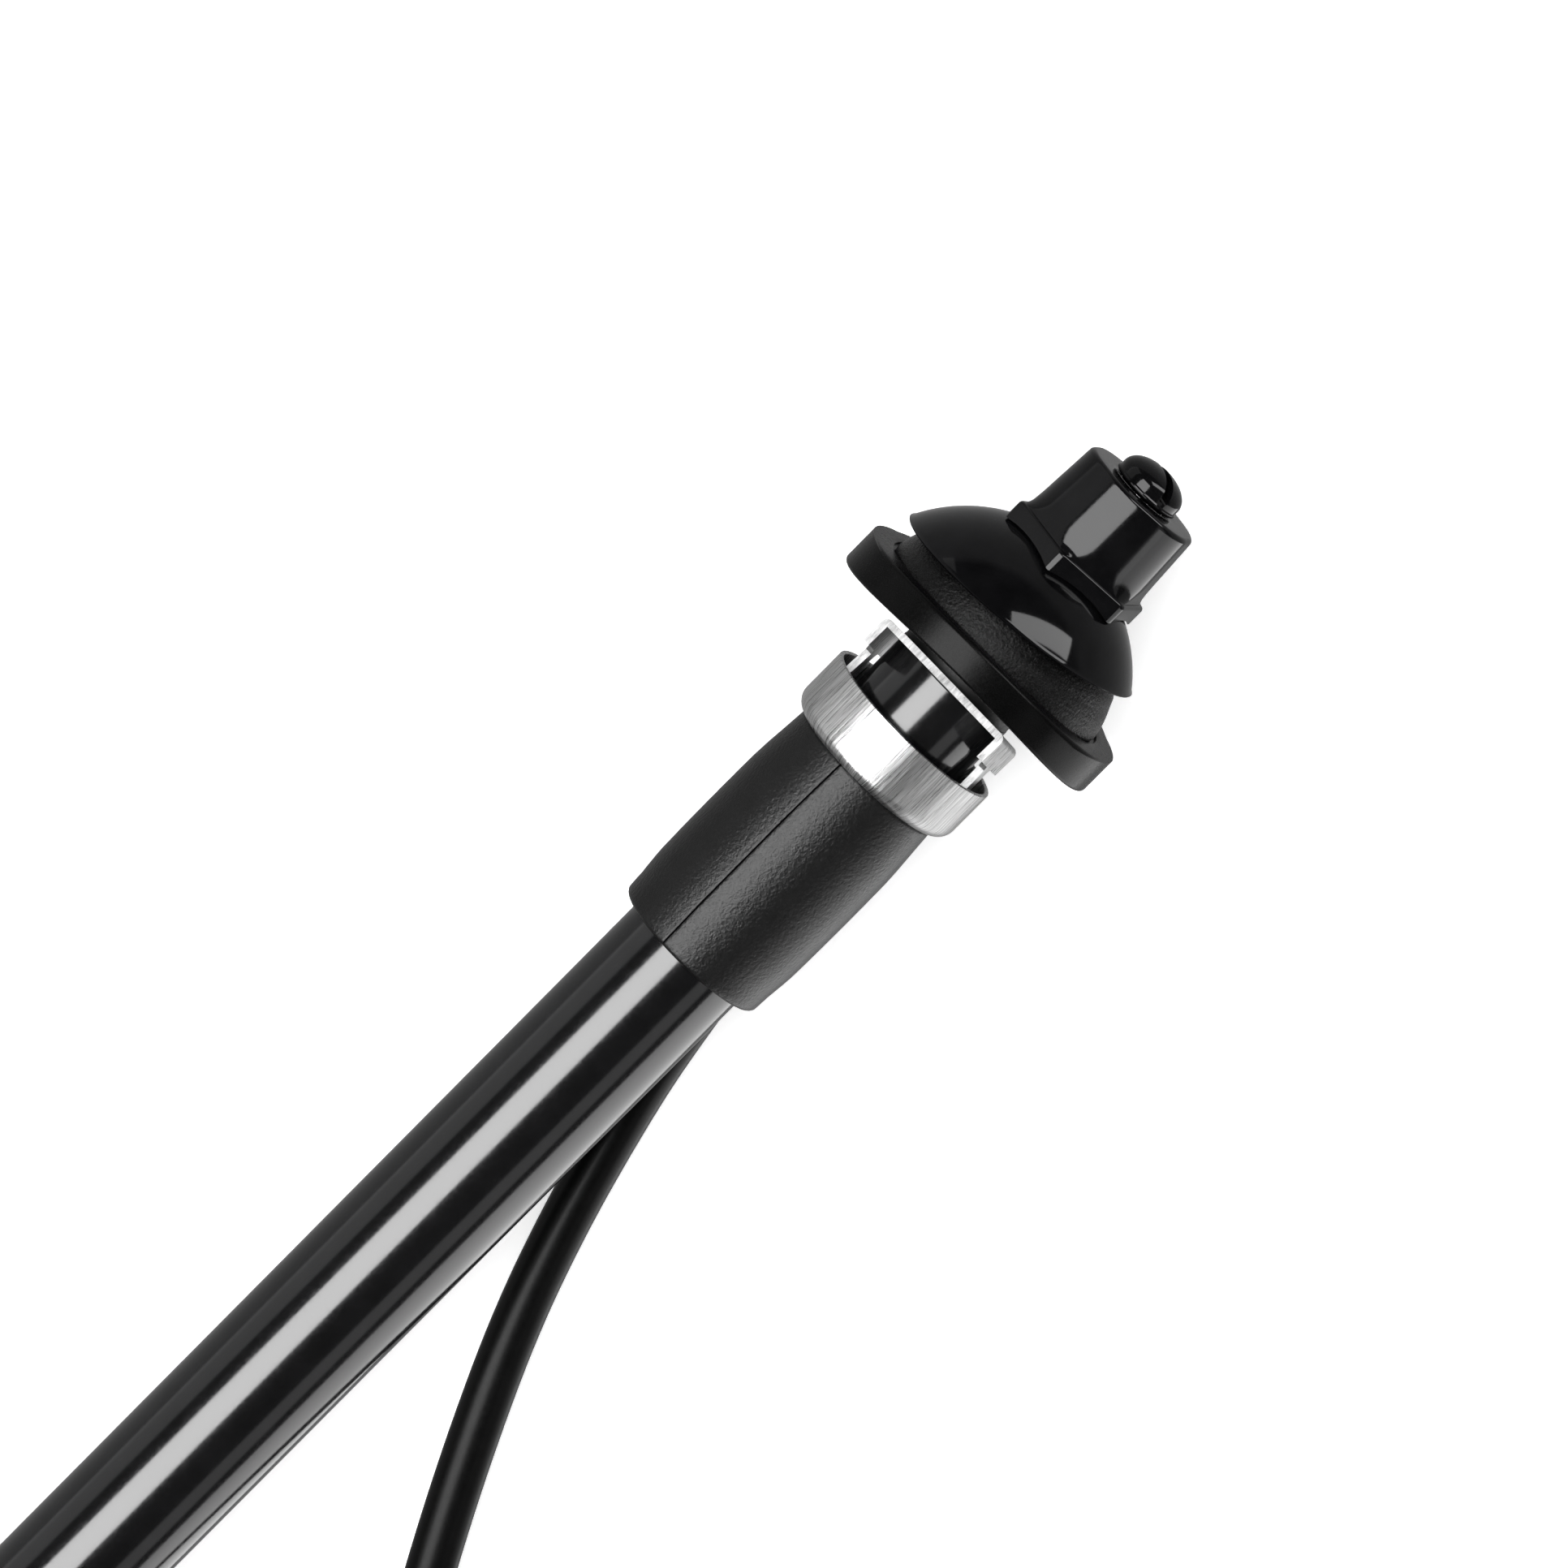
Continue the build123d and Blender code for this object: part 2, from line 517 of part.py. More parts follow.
# ---------------------------------------------------------------- lead end inside the sleeve
GLAND_END = -8.5
with BuildPart() as lead_gland:
    with BuildSketch(outlet(GLAND_END)):
        Circle(3.3)
        Circle(LEAD_R, mode=Mode.SUBTRACT)
    extrude(amount=9.5)
    with BuildSketch(outlet(GLAND_END)):
        Circle(3.9)
        Circle(LEAD_R, mode=Mode.SUBTRACT)
    extrude(amount=2.4)
lead_gland.part.label = "lead_gland"
export_step(lead_gland.part, "parts/lead_gland.step")

with BuildPart() as lead_end:
    with BuildSketch(outlet(GLAND_END)):
        Circle(LEAD_R)
    extrude(amount=10.5)
lead_end.part.label = "lead_end"
export_step(lead_end.part, "parts/lead_end.step")

WIRE = axial(SEAM_AZ + 180)
WIRE_START = OUT_POINT - OUT_DIR * 2.25
WIRE_TURN = WIRE.from_local_coords((10.9, -29.8, 0))
with BuildPart() as inner_conductor:
    with BuildLine():
        FilletPolyline(WIRE_START, WIRE_TURN, WIRE.from_local_coords((8.4, -25.5, 0)),
                       WIRE.from_local_coords((8.4, -19, 0)), WIRE.from_local_coords((4.72, -19, 0)), radius=0.9)
    with BuildSketch(Plane(origin=WIRE_START, z_dir=WIRE_TURN - WIRE_START)):
        Circle(0.45)
    sweep()
inner_conductor.part.label = "inner_conductor"
export_step(inner_conductor.part, "parts/inner_conductor.step")

# ---------------------------------------------------------------- lead: uncoiled stretch, coil, tail, plug
# Route from the gland to the coil, and from the coil to the plug.
LEAD_ROUTE = [
    (88.38, -4.38, 4.95), (79.47, -5.63, 4.67), (69.36, -7.85, 3.05), (58.37, -10.8, 2.82), (46.9, -14.7, 2.8),
    (34.9, -20.0, 2.8), (22.4, -26.2, 2.8), (9.4, -33.4, 2.8), (-2.6, -42.0, 2.8), (-14.2, -51.8, 2.8),
    (-26.0, -62.2, 2.8), (-37.9, -72.6, 2.8),
]
TAIL_ROUTE = [
    (-60.0, -80.5, 8.3), (-71.5, -80.8, 8.1), (-82.5, -81.1, 5.2), (-92.5, -80.6, 3.0), (-101.5, -79.6, 3.5),
    (-110.0, -79.0, 5.02),
]
COIL_AT = (-60.0, -46.0)


def bend_radii(route):
    """Arc radius at each corner: as large as its two runs allow."""
    points, radii = [Vector(*r) for r in route], []
    for a, b, c in zip(points, points[1:], points[2:]):
        turn = math.radians((b - a).get_angle(c - b))
        radii.append(0.45 * min((b - a).length, (c - b).length) / math.tan(turn / 2))
    return radii


for name, route in (("lead", LEAD_ROUTE), ("tail", TAIL_ROUTE)):
    print(name, "bend radii", [round(r, 1) for r in bend_radii(route)])

with BuildPart() as lead_cable:
    with BuildLine() as lead_line:
        FilletPolyline(*LEAD_ROUTE, radius=bend_radii(LEAD_ROUTE))
    with BuildSketch(Plane(origin=LEAD_ROUTE[0], z_dir=Vector(*LEAD_ROUTE[1]) - Vector(*LEAD_ROUTE[0]))):
        Circle(LEAD_R)
    sweep()
lead_cable.part.label = "lead_cable"
export_step(lead_cable.part, "parts/lead_cable.step")
lead_length = sum(e.length for e in lead_line.edges())
print("lead", lead_length, lead_cable.part.volume / (math.pi * LEAD_R ** 2 * lead_length))

with BuildPart() as lead_tail:
    with BuildLine() as tail_line:
        FilletPolyline(*TAIL_ROUTE, radius=bend_radii(TAIL_ROUTE))
    with BuildSketch(Plane(origin=TAIL_ROUTE[0], z_dir=Vector(*TAIL_ROUTE[1]) - Vector(*TAIL_ROUTE[0]))):
        Circle(LEAD_R)
    sweep()
lead_tail.part.label = "lead_tail"
export_step(lead_tail.part, "parts/lead_tail.step")
tail_length = sum(e.length for e in tail_line.edges())
print("tail", tail_length, lead_tail.part.volume / (math.pi * LEAD_R ** 2 * tail_length))

with BuildPart() as lead_coil:
    with BuildSketch(Plane.XY):
        with Locations(COIL_AT):
            Circle(COIL_OUT)
            Circle(COIL_IN, mode=Mode.SUBTRACT)
    extrude(amount=COIL_LOW)
    with BuildSketch(Plane.XY):
        with Locations(COIL_AT):
            Circle(COIL_STEP)
            Circle(COIL_IN, mode=Mode.SUBTRACT)
    extrude(amount=COIL_H)
    fillet(edges().filter_by(GeomType.CIRCLE).filter_by(lambda e: abs(e.center().Z - COIL_LOW) > 0.1 or e.radius > COIL_STEP + 1), 1.6)
lead_coil.part.label = "lead_coil"
export_step(lead_coil.part, "parts/lead_coil.step")

TIE_AZ = math.radians(-160)
TIE_DIR = Vector(math.cos(TIE_AZ), math.sin(TIE_AZ), 0)
TIE_PLANE = Plane(origin=Vector(*COIL_AT, 0), x_dir=TIE_DIR, z_dir=Vector(math.sin(TIE_AZ), -math.cos(TIE_AZ), 0))
with BuildPart() as coil_tie:
    with BuildSketch(TIE_PLANE):
        with Locations(((COIL_IN + COIL_OUT) / 2, 6.0)):
            Polygon((-9.3, -6.0), (9.3, -6.0), (9.3, 0.2), (3.7, 6.0), (-9.3, 6.0), align=None)
        fillet(vertices(), 2.2)
        offset(amount=-0.75, mode=Mode.SUBTRACT)
    extrude(amount=2.4, both=True)
coil_tie.part.label = "coil_tie"
export_step(coil_tie.part, "parts/coil_tie.step")

# plug: rubber boot, turned shell, insulator and centre pin, lying along -X
PLUG_AT = (-110.0, -79.0, 5.02)
PLUG_RZ = Plane(origin=PLUG_AT, x_dir=(0, 0, 1), z_dir=(0, -1, 0))
PLUG_AXIS = Axis(origin=PLUG_AT, direction=(-1, 0, 0))
with BuildPart() as plug_boot:
    with BuildSketch(PLUG_RZ):
        with BuildLine():
            Polyline((0, 0), (3.3, 0), (4.0, 13), (4.9, 14), (4.9, 21), (3.0, 21), (3.0, 23), (0, 23), close=True)
        make_face()
    revolve(axis=PLUG_AXIS)
plug_boot.part.label = "plug_boot"
export_step(plug_boot.part, "parts/plug_boot.step")

with BuildPart() as plug_shell:
    with BuildSketch(PLUG_RZ):
        with BuildLine():
            Polyline((3.0, 21), (4.6, 21), (4.95, 21.4), (4.95, 27), (4.6, 27.6), (4.6, 38.5), (4.3, 39), (4.0, 39), (4.0, 25), (3.0, 25), close=True)
        make_face()
    revolve(axis=PLUG_AXIS)
    with BuildSketch(Plane(origin=(PLUG_AT[0] - 30.5, PLUG_AT[1], PLUG_AT[2]), x_dir=(0, 0, 1), z_dir=(-1, 0, 0))):
        with PolarLocations(4.3, 4, start_angle=45):
            Rectangle(1.6, 0.6)
    extrude(amount=9, mode=Mode.SUBTRACT)
plug_shell.part.label = "plug_shell"
export_step(plug_shell.part, "parts/plug_shell.step")

with BuildPart() as plug_insulator:
    with BuildSketch(PLUG_RZ):
        with BuildLine():
            Polyline((1.4, 25), (4.0, 25), (4.0, 30), (2.4, 30), (2.4, 37), (1.4, 37), close=True)
        make_face()
    revolve(axis=PLUG_AXIS)
plug_insulator.part.label = "plug_insulator"
export_step(plug_insulator.part, "parts/plug_insulator.step")

with BuildPart() as plug_pin:
    with BuildSketch(PLUG_RZ):
        with BuildLine():
            Polyline((0, 23.0), (1.4, 23.0), (1.4, 37.4), (1.6, 37.6), (1.6, 48.6), (1.3, 49.4), (0.7, 49.9), (0, 50.0), close=True)
        make_face()
    revolve(axis=PLUG_AXIS)
plug_pin.part.label = "plug_pin"
export_step(plug_pin.part, "parts/plug_pin.step")

everything = [tip_button, mast_rod, rod_foot, mast_stage_3, stage_3_foot, mast_stage_2, stage_2_foot, mast_stage_1,
              stage_1_foot, head_nut, wiper_seal, slip_ring, dome_cap, swivel_seat, rubber_pad, claw_bracket, clamp_cup,
              housing_tube, threaded_neck, neck_liner, contact_holder, contact_ring, bottom_stop, end_cap, sleeve_left,
              sleeve_right, lead_gland, lead_end, inner_conductor]
box = Compound(children=[b.part for b in everything]).bounding_box()
print("object without its lead", box.min, box.max, "centre", (box.min + box.max) * 0.5)
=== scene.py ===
import bpy
import json
import math
from mathutils import Matrix, Vector


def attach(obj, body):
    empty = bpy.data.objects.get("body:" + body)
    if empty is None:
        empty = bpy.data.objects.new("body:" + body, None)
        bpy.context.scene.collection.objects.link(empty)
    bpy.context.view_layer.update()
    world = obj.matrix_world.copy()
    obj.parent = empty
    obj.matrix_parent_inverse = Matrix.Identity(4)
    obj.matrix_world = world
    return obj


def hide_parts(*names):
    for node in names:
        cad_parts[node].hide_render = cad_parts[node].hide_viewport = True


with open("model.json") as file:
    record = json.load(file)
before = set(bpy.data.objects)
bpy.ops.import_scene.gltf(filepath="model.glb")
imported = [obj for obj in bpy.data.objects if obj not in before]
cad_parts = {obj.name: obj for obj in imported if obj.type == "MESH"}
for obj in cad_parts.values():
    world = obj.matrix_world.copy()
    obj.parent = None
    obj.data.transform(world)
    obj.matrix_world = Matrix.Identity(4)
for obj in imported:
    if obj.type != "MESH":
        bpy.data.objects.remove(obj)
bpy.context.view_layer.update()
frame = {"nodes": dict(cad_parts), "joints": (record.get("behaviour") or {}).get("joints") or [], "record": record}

scene = bpy.context.scene
scene.view_settings.view_transform = "Standard"

# ------------------------------------------------------------------ frames
joints = {j["name"]: j for j in frame["joints"]}
AX = Vector(joints["mast_1_slide"]["axis"]).normalized()
UP = Vector(joints["dome_tilt"]["axis"]).normalized()
SIDE = AX.cross(UP).normalized()
BALL_Z = 2.08
BALL = Vector(joints["dome_tilt"]["pos_m"])
ORIGIN = BALL - AX * (BALL_Z / 1000)
LOCAL = Matrix.Identity(4)
for col, v in enumerate((UP, SIDE, AX, ORIGIN)):
    for row in range(3):
        LOCAL[row][col] = v[row]


def at(up, side, z):
    """A point given in millimetres in the mast's own frame."""
    return ORIGIN + (UP * up + SIDE * side + AX * z) / 1000


def polar(azimuth):
    a = math.radians(azimuth)
    return math.cos(a), math.sin(a)


# ------------------------------------------------------------------ camera
lean = math.radians(10.4)
TO_CAM = UP * math.cos(lean) + AX * math.sin(lean)
MAST_IMG = AX * math.cos(lean) - UP * math.sin(lean)
CAM_RIGHT = (MAST_IMG * 0.7046 + SIDE * 0.7096).normalized()
CAM_UP = TO_CAM.cross(CAM_RIGHT).normalized()
AIM = at(0, -5.3, -20.1)
cam_data = bpy.data.cameras.new("camera")
cam_data.sensor_width = 36
cam_data.lens = 347.8
cam_data.clip_start, cam_data.clip_end = 0.05, 50
camera = bpy.data.objects.new("camera", cam_data)
scene.collection.objects.link(camera)
cm = Matrix.Identity(4)
for col, v in enumerate((CAM_RIGHT, CAM_UP, TO_CAM, AIM + TO_CAM * 1.6)):
    for row in range(3):
        cm[row][col] = v[row]
camera.matrix_world = cm
scene.camera = camera


# ------------------------------------------------------------------ node materials
class Mat:
    """A small builder for a Principled material with procedural detail, in the piece's own coordinates in millimetres."""

    def __init__(self, name, base, rough, metallic=0.0, specular=0.5, ior=1.5, coat=0.0, coat_rough=0.05, aniso=0.0, sheen=0.0):
        self.mat = bpy.data.materials.new(name)
        self.mat.use_nodes = True
        self.t = self.mat.node_tree
        self.t.nodes.clear()
        self.out = self.t.nodes.new("ShaderNodeOutputMaterial")
        self.bsdf = self.t.nodes.new("ShaderNodeBsdfPrincipled")
        self.t.links.new(self.bsdf.outputs[0], self.out.inputs[0])
        b = self.bsdf.inputs
        b["Base Color"].default_value = (*base, 1)
        b["Roughness"].default_value = rough
        b["Metallic"].default_value = metallic
        b["Specular IOR Level"].default_value = specular
        b["IOR"].default_value = ior
        b["Coat Weight"].default_value = coat
        b["Coat Roughness"].default_value = coat_rough
        b["Anisotropic"].default_value = aniso
        b["Sheen Weight"].default_value = sheen
        self.base, self.rough = base, rough
        coord = self.t.nodes.new("ShaderNodeTexCoord")
        scale = self.t.nodes.new("ShaderNodeVectorMath")
        scale.operation = "SCALE"
        scale.inputs["Scale"].default_value = 1000.0
        self.link(coord.outputs["Object"], scale.inputs[0])
        self.mm = scale.outputs[0]
        self.height = None

    def link(self, a, b):
        self.t.links.new(a, b)

    def math(self, op, a, b=None, c=None):
        n = self.t.nodes.new("ShaderNodeMath")
        n.operation = op
        for i, v in enumerate((a, b, c)):
            if v is None:
                continue
            if isinstance(v, (int, float)):
                n.inputs[i].default_value = v
            else:
                self.link(v, n.inputs[i])
        return n.outputs[0]

    def xyz(self, vec):
        n = self.t.nodes.new("ShaderNodeSeparateXYZ")
        self.link(vec, n.inputs[0])
        return n.outputs

    def vec(self, x, y, z):
        n = self.t.nodes.new("ShaderNodeCombineXYZ")
        for i, v in enumerate((x, y, z)):
            if isinstance(v, (int, float)):
                n.inputs[i].default_value = v
            else:
                self.link(v, n.inputs[i])
        return n.outputs[0]

    def scaled(self, sx, sy, sz):
        n = self.t.nodes.new("ShaderNodeMapping")
        self.link(self.mm, n.inputs["Vector"])
        n.inputs["Scale"].default_value = (sx, sy, sz)
        return n.outputs[0]

    def around(self, k_angle, k_z, k_r=0.0):
        """Coordinates round the piece's local Z: angle times k_angle, height times k_z."""
        x, y, z = self.xyz(self.mm)
        ang = self.math("ARCTAN2", y, x)
        r = self.math("SQRT", self.math("ADD", self.math("MULTIPLY", x, x), self.math("MULTIPLY", y, y)))
        return self.vec(self.math("MULTIPLY", ang, k_angle), self.math("MULTIPLY", z, k_z), self.math("MULTIPLY", r, k_r))

    def noise(self, scale, detail=3.0, rough=0.5, vec=None, distortion=0.0):
        n = self.t.nodes.new("ShaderNodeTexNoise")
        self.link(vec or self.mm, n.inputs["Vector"])
        n.inputs["Scale"].default_value = scale
        n.inputs["Detail"].default_value = detail
        n.inputs["Roughness"].default_value = rough
        n.inputs["Distortion"].default_value = distortion
        return n.outputs["Fac"]

    def voronoi(self, scale, vec=None):
        n = self.t.nodes.new("ShaderNodeTexVoronoi")
        self.link(vec or self.mm, n.inputs["Vector"])
        n.inputs["Scale"].default_value = scale
        return n.outputs["Distance"]

    def spread(self, fac, low, high, lo=0.3, hi=0.7):
        n = self.t.nodes.new("ShaderNodeMapRange")
        self.link(fac, n.inputs["Value"])
        n.inputs["From Min"].default_value = lo
        n.inputs["From Max"].default_value = hi
        n.inputs["To Min"].default_value = low
        n.inputs["To Max"].default_value = high
        return n.outputs[0]

    def tint(self, fac, a, b, lo=0.3, hi=0.7):
        n = self.t.nodes.new("ShaderNodeValToRGB")
        n.color_ramp.elements[0].position = lo
        n.color_ramp.elements[1].position = hi
        n.color_ramp.elements[0].color = (*a, 1)
        n.color_ramp.elements[1].color = (*b, 1)
        self.link(fac, n.inputs[0])
        self.link(n.outputs[0], self.bsdf.inputs["Base Color"])
        return n.outputs[0]

    def vary_rough(self, fac, low, high, lo=0.3, hi=0.7):
        self.link(self.spread(fac, low, high, lo, hi), self.bsdf.inputs["Roughness"])

    def bump(self, fac, mm, strength=1.0):
        """Adds a height in millimetres."""
        n = self.t.nodes.new("ShaderNodeBump")
        n.inputs["Strength"].default_value = strength
        n.inputs["Distance"].default_value = mm / 1000.0
        self.link(fac, n.inputs["Height"])
        if self.height is not None:
            self.link(self.height, n.inputs["Normal"])
        self.height = n.outputs[0]
        self.link(self.height, self.bsdf.inputs["Normal"])


def gloss_black(name, rough=0.07, ior=1.55, peel=0.0, specular=0.5):
    m = Mat(name, (0.008, 0.008, 0.009), rough, ior=ior, specular=specular)
    m.tint(m.noise(0.35, 4), (0.0015, 0.0015, 0.0018), (0.004, 0.004, 0.0045))
    m.vary_rough(m.noise(2.2, 6, 0.65), rough * 0.8, rough * 1.35)
    if peel:
        m.bump(m.noise(0.9, 3, 0.5), peel)
    m.bump(m.noise(14, 2), 0.0004)
    return m


def satin_black(name, base, rough, grain, depth, ior=1.5, specular=0.5):
    m = Mat(name, (base, base, base), rough, ior=ior, specular=specular)
    m.tint(m.noise(0.5, 5), (base * 0.75,) * 3, (base * 1.3,) * 3)
    m.vary_rough(m.noise(3.0, 4), rough * 0.88, rough * 1.12)
    m.bump(m.noise(grain, 5, 0.6), depth)
    return m


mats = {}

m = gloss_black("gloss_tip", 0.09, 1.6, 0.004, 0.16)
mats["tip_black"] = m
m = gloss_black("gloss_nut", 0.12, 1.6, 0.002, 0.17)
mats["nut_black"] = m
m = gloss_black("gloss_dome", 0.06, 1.6, 0.0, 0.14)
mats["dome_black"] = m
m = gloss_black("gloss_tube", 0.13, 1.6, 0.0015)
mats["tube_black"] = m

# the seat is spark-eroded plastic: coarse grain that glitters
m = Mat("grained_seat", (0.003, 0.003, 0.003), 0.22, specular=0.15)
m.tint(m.noise(1.2, 4), (0.002, 0.002, 0.002), (0.005, 0.005, 0.005))
m.vary_rough(m.noise(4.5, 3), 0.17, 0.36)
m.bump(m.noise(2.2, 4, 0.7), 0.14, 1.0)
m.bump(m.voronoi(2.9), 0.04, 0.8)
mats["seat_black"] = m

m = satin_black("rubber_pad_mat", 0.002, 0.27, 4.0, 0.008, specular=0.08)
m.bump(m.noise(0.25, 2), 0.03)
mats["pad_rubber"] = m

m = satin_black("sleeve_plastic", 0.003, 0.34, 5.0, 0.03, specular=0.27)
m.bump(m.noise(2.3, 3, 0.6), 0.09, 1.0)
mats["sleeve_black"] = m
m = satin_black("cable_jacket", 0.002, 0.34, 5.0, 0.006, specular=0.1)
mats["lead_black"] = m
mats["gland_black"] = satin_black("gland_rubber", 0.01, 0.55, 5.0, 0.01, specular=0.25)
mats["tie_black"] = satin_black("tie_nylon", 0.014, 0.38, 6.0, 0.006, specular=0.3)
mats["boot_black"] = satin_black("boot_rubber", 0.012, 0.5, 5.0, 0.01, specular=0.3)
mats["cap_black"] = satin_black("cap_plastic", 0.012, 0.45, 6.0, 0.012, specular=0.3)

# brushed cup: fine lines along the mast
m = Mat("brushed_cup", (0.6, 0.6, 0.6), 0.3, metallic=1.0)
lines = m.noise(1.0, 4, 0.75, m.around(40.0, 0.10))
fine = m.noise(1.0, 3, 0.6, m.around(120.0, 0.22))
both = m.math("ADD", m.math("MULTIPLY", lines, 0.6), m.math("MULTIPLY", fine, 0.4))
m.tint(both, (0.28, 0.28, 0.28), (0.76, 0.76, 0.76), 0.38, 0.62)
m.vary_rough(both, 0.2, 0.4)
m.bump(lines, 0.03, 0.7)
m.bump(fine, 0.012, 0.7)
mats["cup_steel"] = m

# zinc-plated sheet: streaks on the faces, pale sheared edges
m = Mat("plated_sheet", (0.55, 0.55, 0.55), 0.32, metallic=0.8)
streak = m.noise(1.0, 5, 0.65, m.scaled(0.35, 2.6, 2.6))
blot = m.noise(0.45, 4, 0.6)
mix = m.math("ADD", m.math("MULTIPLY", streak, 0.65), m.math("MULTIPLY", blot, 0.35))
m.tint(mix, (0.3, 0.3, 0.3), (0.82, 0.82, 0.82), 0.38, 0.62)
m.vary_rough(streak, 0.22, 0.45)
m.bump(streak, 0.05, 0.8)
m.bump(m.noise(5.0, 3), 0.004)
mats["claw_steel"] = m

m = Mat("chrome_mast", (0.26, 0.26, 0.27), 0.12, metallic=1.0)
m.tint(m.noise(0.3, 3), (0.2, 0.2, 0.205), (0.3, 0.3, 0.305))
m.vary_rough(m.noise(1.0, 4, 0.6, m.scaled(3.0, 3.0, 0.12)), 0.08, 0.18)
mats["mast_chrome"] = m


def metal(name, lo, hi, rough):
    q = Mat(name, hi, rough, metallic=1.0)
    turned = q.noise(1.0, 4, 0.6, q.around(0.6, 6.0))
    q.tint(turned, lo, hi)
    q.vary_rough(turned, rough * 0.75, rough * 1.3)
    q.bump(turned, 0.006, 0.5)
    return q


mats["foot_brass"] = metal("spring_brass", (0.52, 0.38, 0.14), (0.72, 0.56, 0.26), 0.28)
mats["neck_brass"] = metal("turned_brass", (0.5, 0.38, 0.16), (0.7, 0.55, 0.28), 0.25)
mats["contact_bronze"] = metal("bronze", (0.5, 0.28, 0.12), (0.68, 0.42, 0.2), 0.3)
mats["copper_wire"] = metal("copper", (0.6, 0.25, 0.13), (0.8, 0.42, 0.26), 0.3)
mats["plug_nickel"] = metal("nickel", (0.6, 0.59, 0.56), (0.8, 0.79, 0.75), 0.26)
mats["ring_steel"] = metal("plain_steel", (0.3, 0.3, 0.3), (0.52, 0.52, 0.52), 0.3)


def pale(name, a, b, rough):
    q = Mat(name, b, rough)
    q.tint(q.noise(0.8, 4), a, b)
    q.vary_rough(q.noise(4, 3), rough * 0.85, rough * 1.15)
    q.bump(q.noise(6, 3), 0.004)
    return q


mats["foot_nylon"] = pale("natural_nylon", (0.6, 0.58, 0.5), (0.7, 0.68, 0.6), 0.4)
mats["liner_nylon"] = mats["foot_nylon"]
mats["plug_white"] = pale("white_insulator", (0.7, 0.7, 0.67), (0.8, 0.8, 0.78), 0.35)

# every CAD node gets its slot's procedural material
slot_of = {s["node"]: s["material_slot"] for s in frame["record"]["subparts"]}
for name, obj in frame["nodes"].items():
    mat = mats[slot_of[name]].mat
    if not obj.material_slots:
        obj.data.materials.append(mat)
    for s in obj.material_slots:
        s.material = mat


# the punched edges of the bracket are broken by a small radius
edge = frame["nodes"]["claw_bracket"].modifiers.new("broken_edges", "BEVEL")
edge.width = 0.00028
edge.segments = 2
edge.limit_method = "ANGLE"
edge.angle_limit = math.radians(40)
edge.harden_normals = False

# ------------------------------------------------------------------ mesh builders, in the mast's frame, millimetres
def make(name, verts, faces, slot, body, stands_for=(), sharp=35.0, matrix=LOCAL):
    mesh = bpy.data.meshes.new(name)
    mesh.from_pydata([(x / 1000, y / 1000, z / 1000) for x, y, z in verts], [], faces)
    mesh.validate()
    mesh.update()
    for p in mesh.polygons:
        p.use_smooth = True
    mesh.set_sharp_from_angle(angle=math.radians(sharp))
    obj = bpy.data.objects.new(name, mesh)
    scene.collection.objects.link(obj)
    obj.matrix_world = matrix
    mesh.materials.append(mats[slot].mat)
    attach(obj, body)
    if stands_for:
        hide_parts(*stands_for)
    return obj


def rounded(points, radii, steps=6):
    """An open or closed list of (r, z) corners, each rounded by its radius."""
    out, n = [], len(points)
    for i, p in enumerate(points):
        r = radii.get(i, 0)
        if not r:
            out.append(p)
            continue
        a, b = Vector(points[i - 1]), Vector(points[(i + 1) % n])
        p = Vector(p)
        u, v = (a - p).normalized(), (b - p).normalized()
        half = u.angle(v) / 2
        d = r / math.tan(half)
        centre = p + (u + v).normalized() * (r / math.sin(half))
        s, e = p + u * d - centre, p + v * d - centre
        sweep = s.angle(e)
        sign = 1 if s.x * e.y - s.y * e.x > 0 else -1
        for k in range(steps + 1):
            t = sign * sweep * k / steps
            out.append((centre.x + s.x * math.cos(t) - s.y * math.sin(t), centre.y + s.x * math.sin(t) + s.y * math.cos(t)))
    return out


def lathe(name, loop, slot, body, stands_for=(), seg=160, sharp=35.0, place=None, matrix=LOCAL, shape=None):
    """Turns a closed loop of (r, z) round local Z. Points on the axis become poles."""
    verts, rings = [], []
    for r, z in loop:
        if r < 1e-6:
            rings.append([len(verts)])
            verts.append((0.0, 0.0, z))
        else:
            ring = []
            for k in range(seg):
                a = 2 * math.pi * k / seg
                ring.append(len(verts))
                verts.append((r * math.cos(a), r * math.sin(a), z))
            rings.append(ring)
    faces, n = [], len(loop)
    for i in range(n):
        a, b = rings[i], rings[(i + 1) % n]
        if len(a) == 1 and len(b) == 1:
            continue
        for k in range(seg):
            j = (k + 1) % seg
            if len(a) == 1:
                faces.append((a[0], b[j], b[k]))
            elif len(b) == 1:
                faces.append((a[k], a[j], b[0]))
            else:
                faces.append((a[k], a[j], b[j], b[k]))
    if shape:
        verts = [shape(*v) for v in verts]
    if place:
        verts = [place(*v) for v in verts]
    return make(name, verts, faces, slot, body, stands_for, sharp, matrix)


def arc(cx, cz, radius, a0, a1, steps):
    """Points on a circle in the (r, z) plane, angles in degrees from +r."""
    return [(cx + radius * math.cos(math.radians(a0 + (a1 - a0) * k / steps)),
             cz + radius * math.sin(math.radians(a0 + (a1 - a0) * k / steps))) for k in range(steps + 1)]


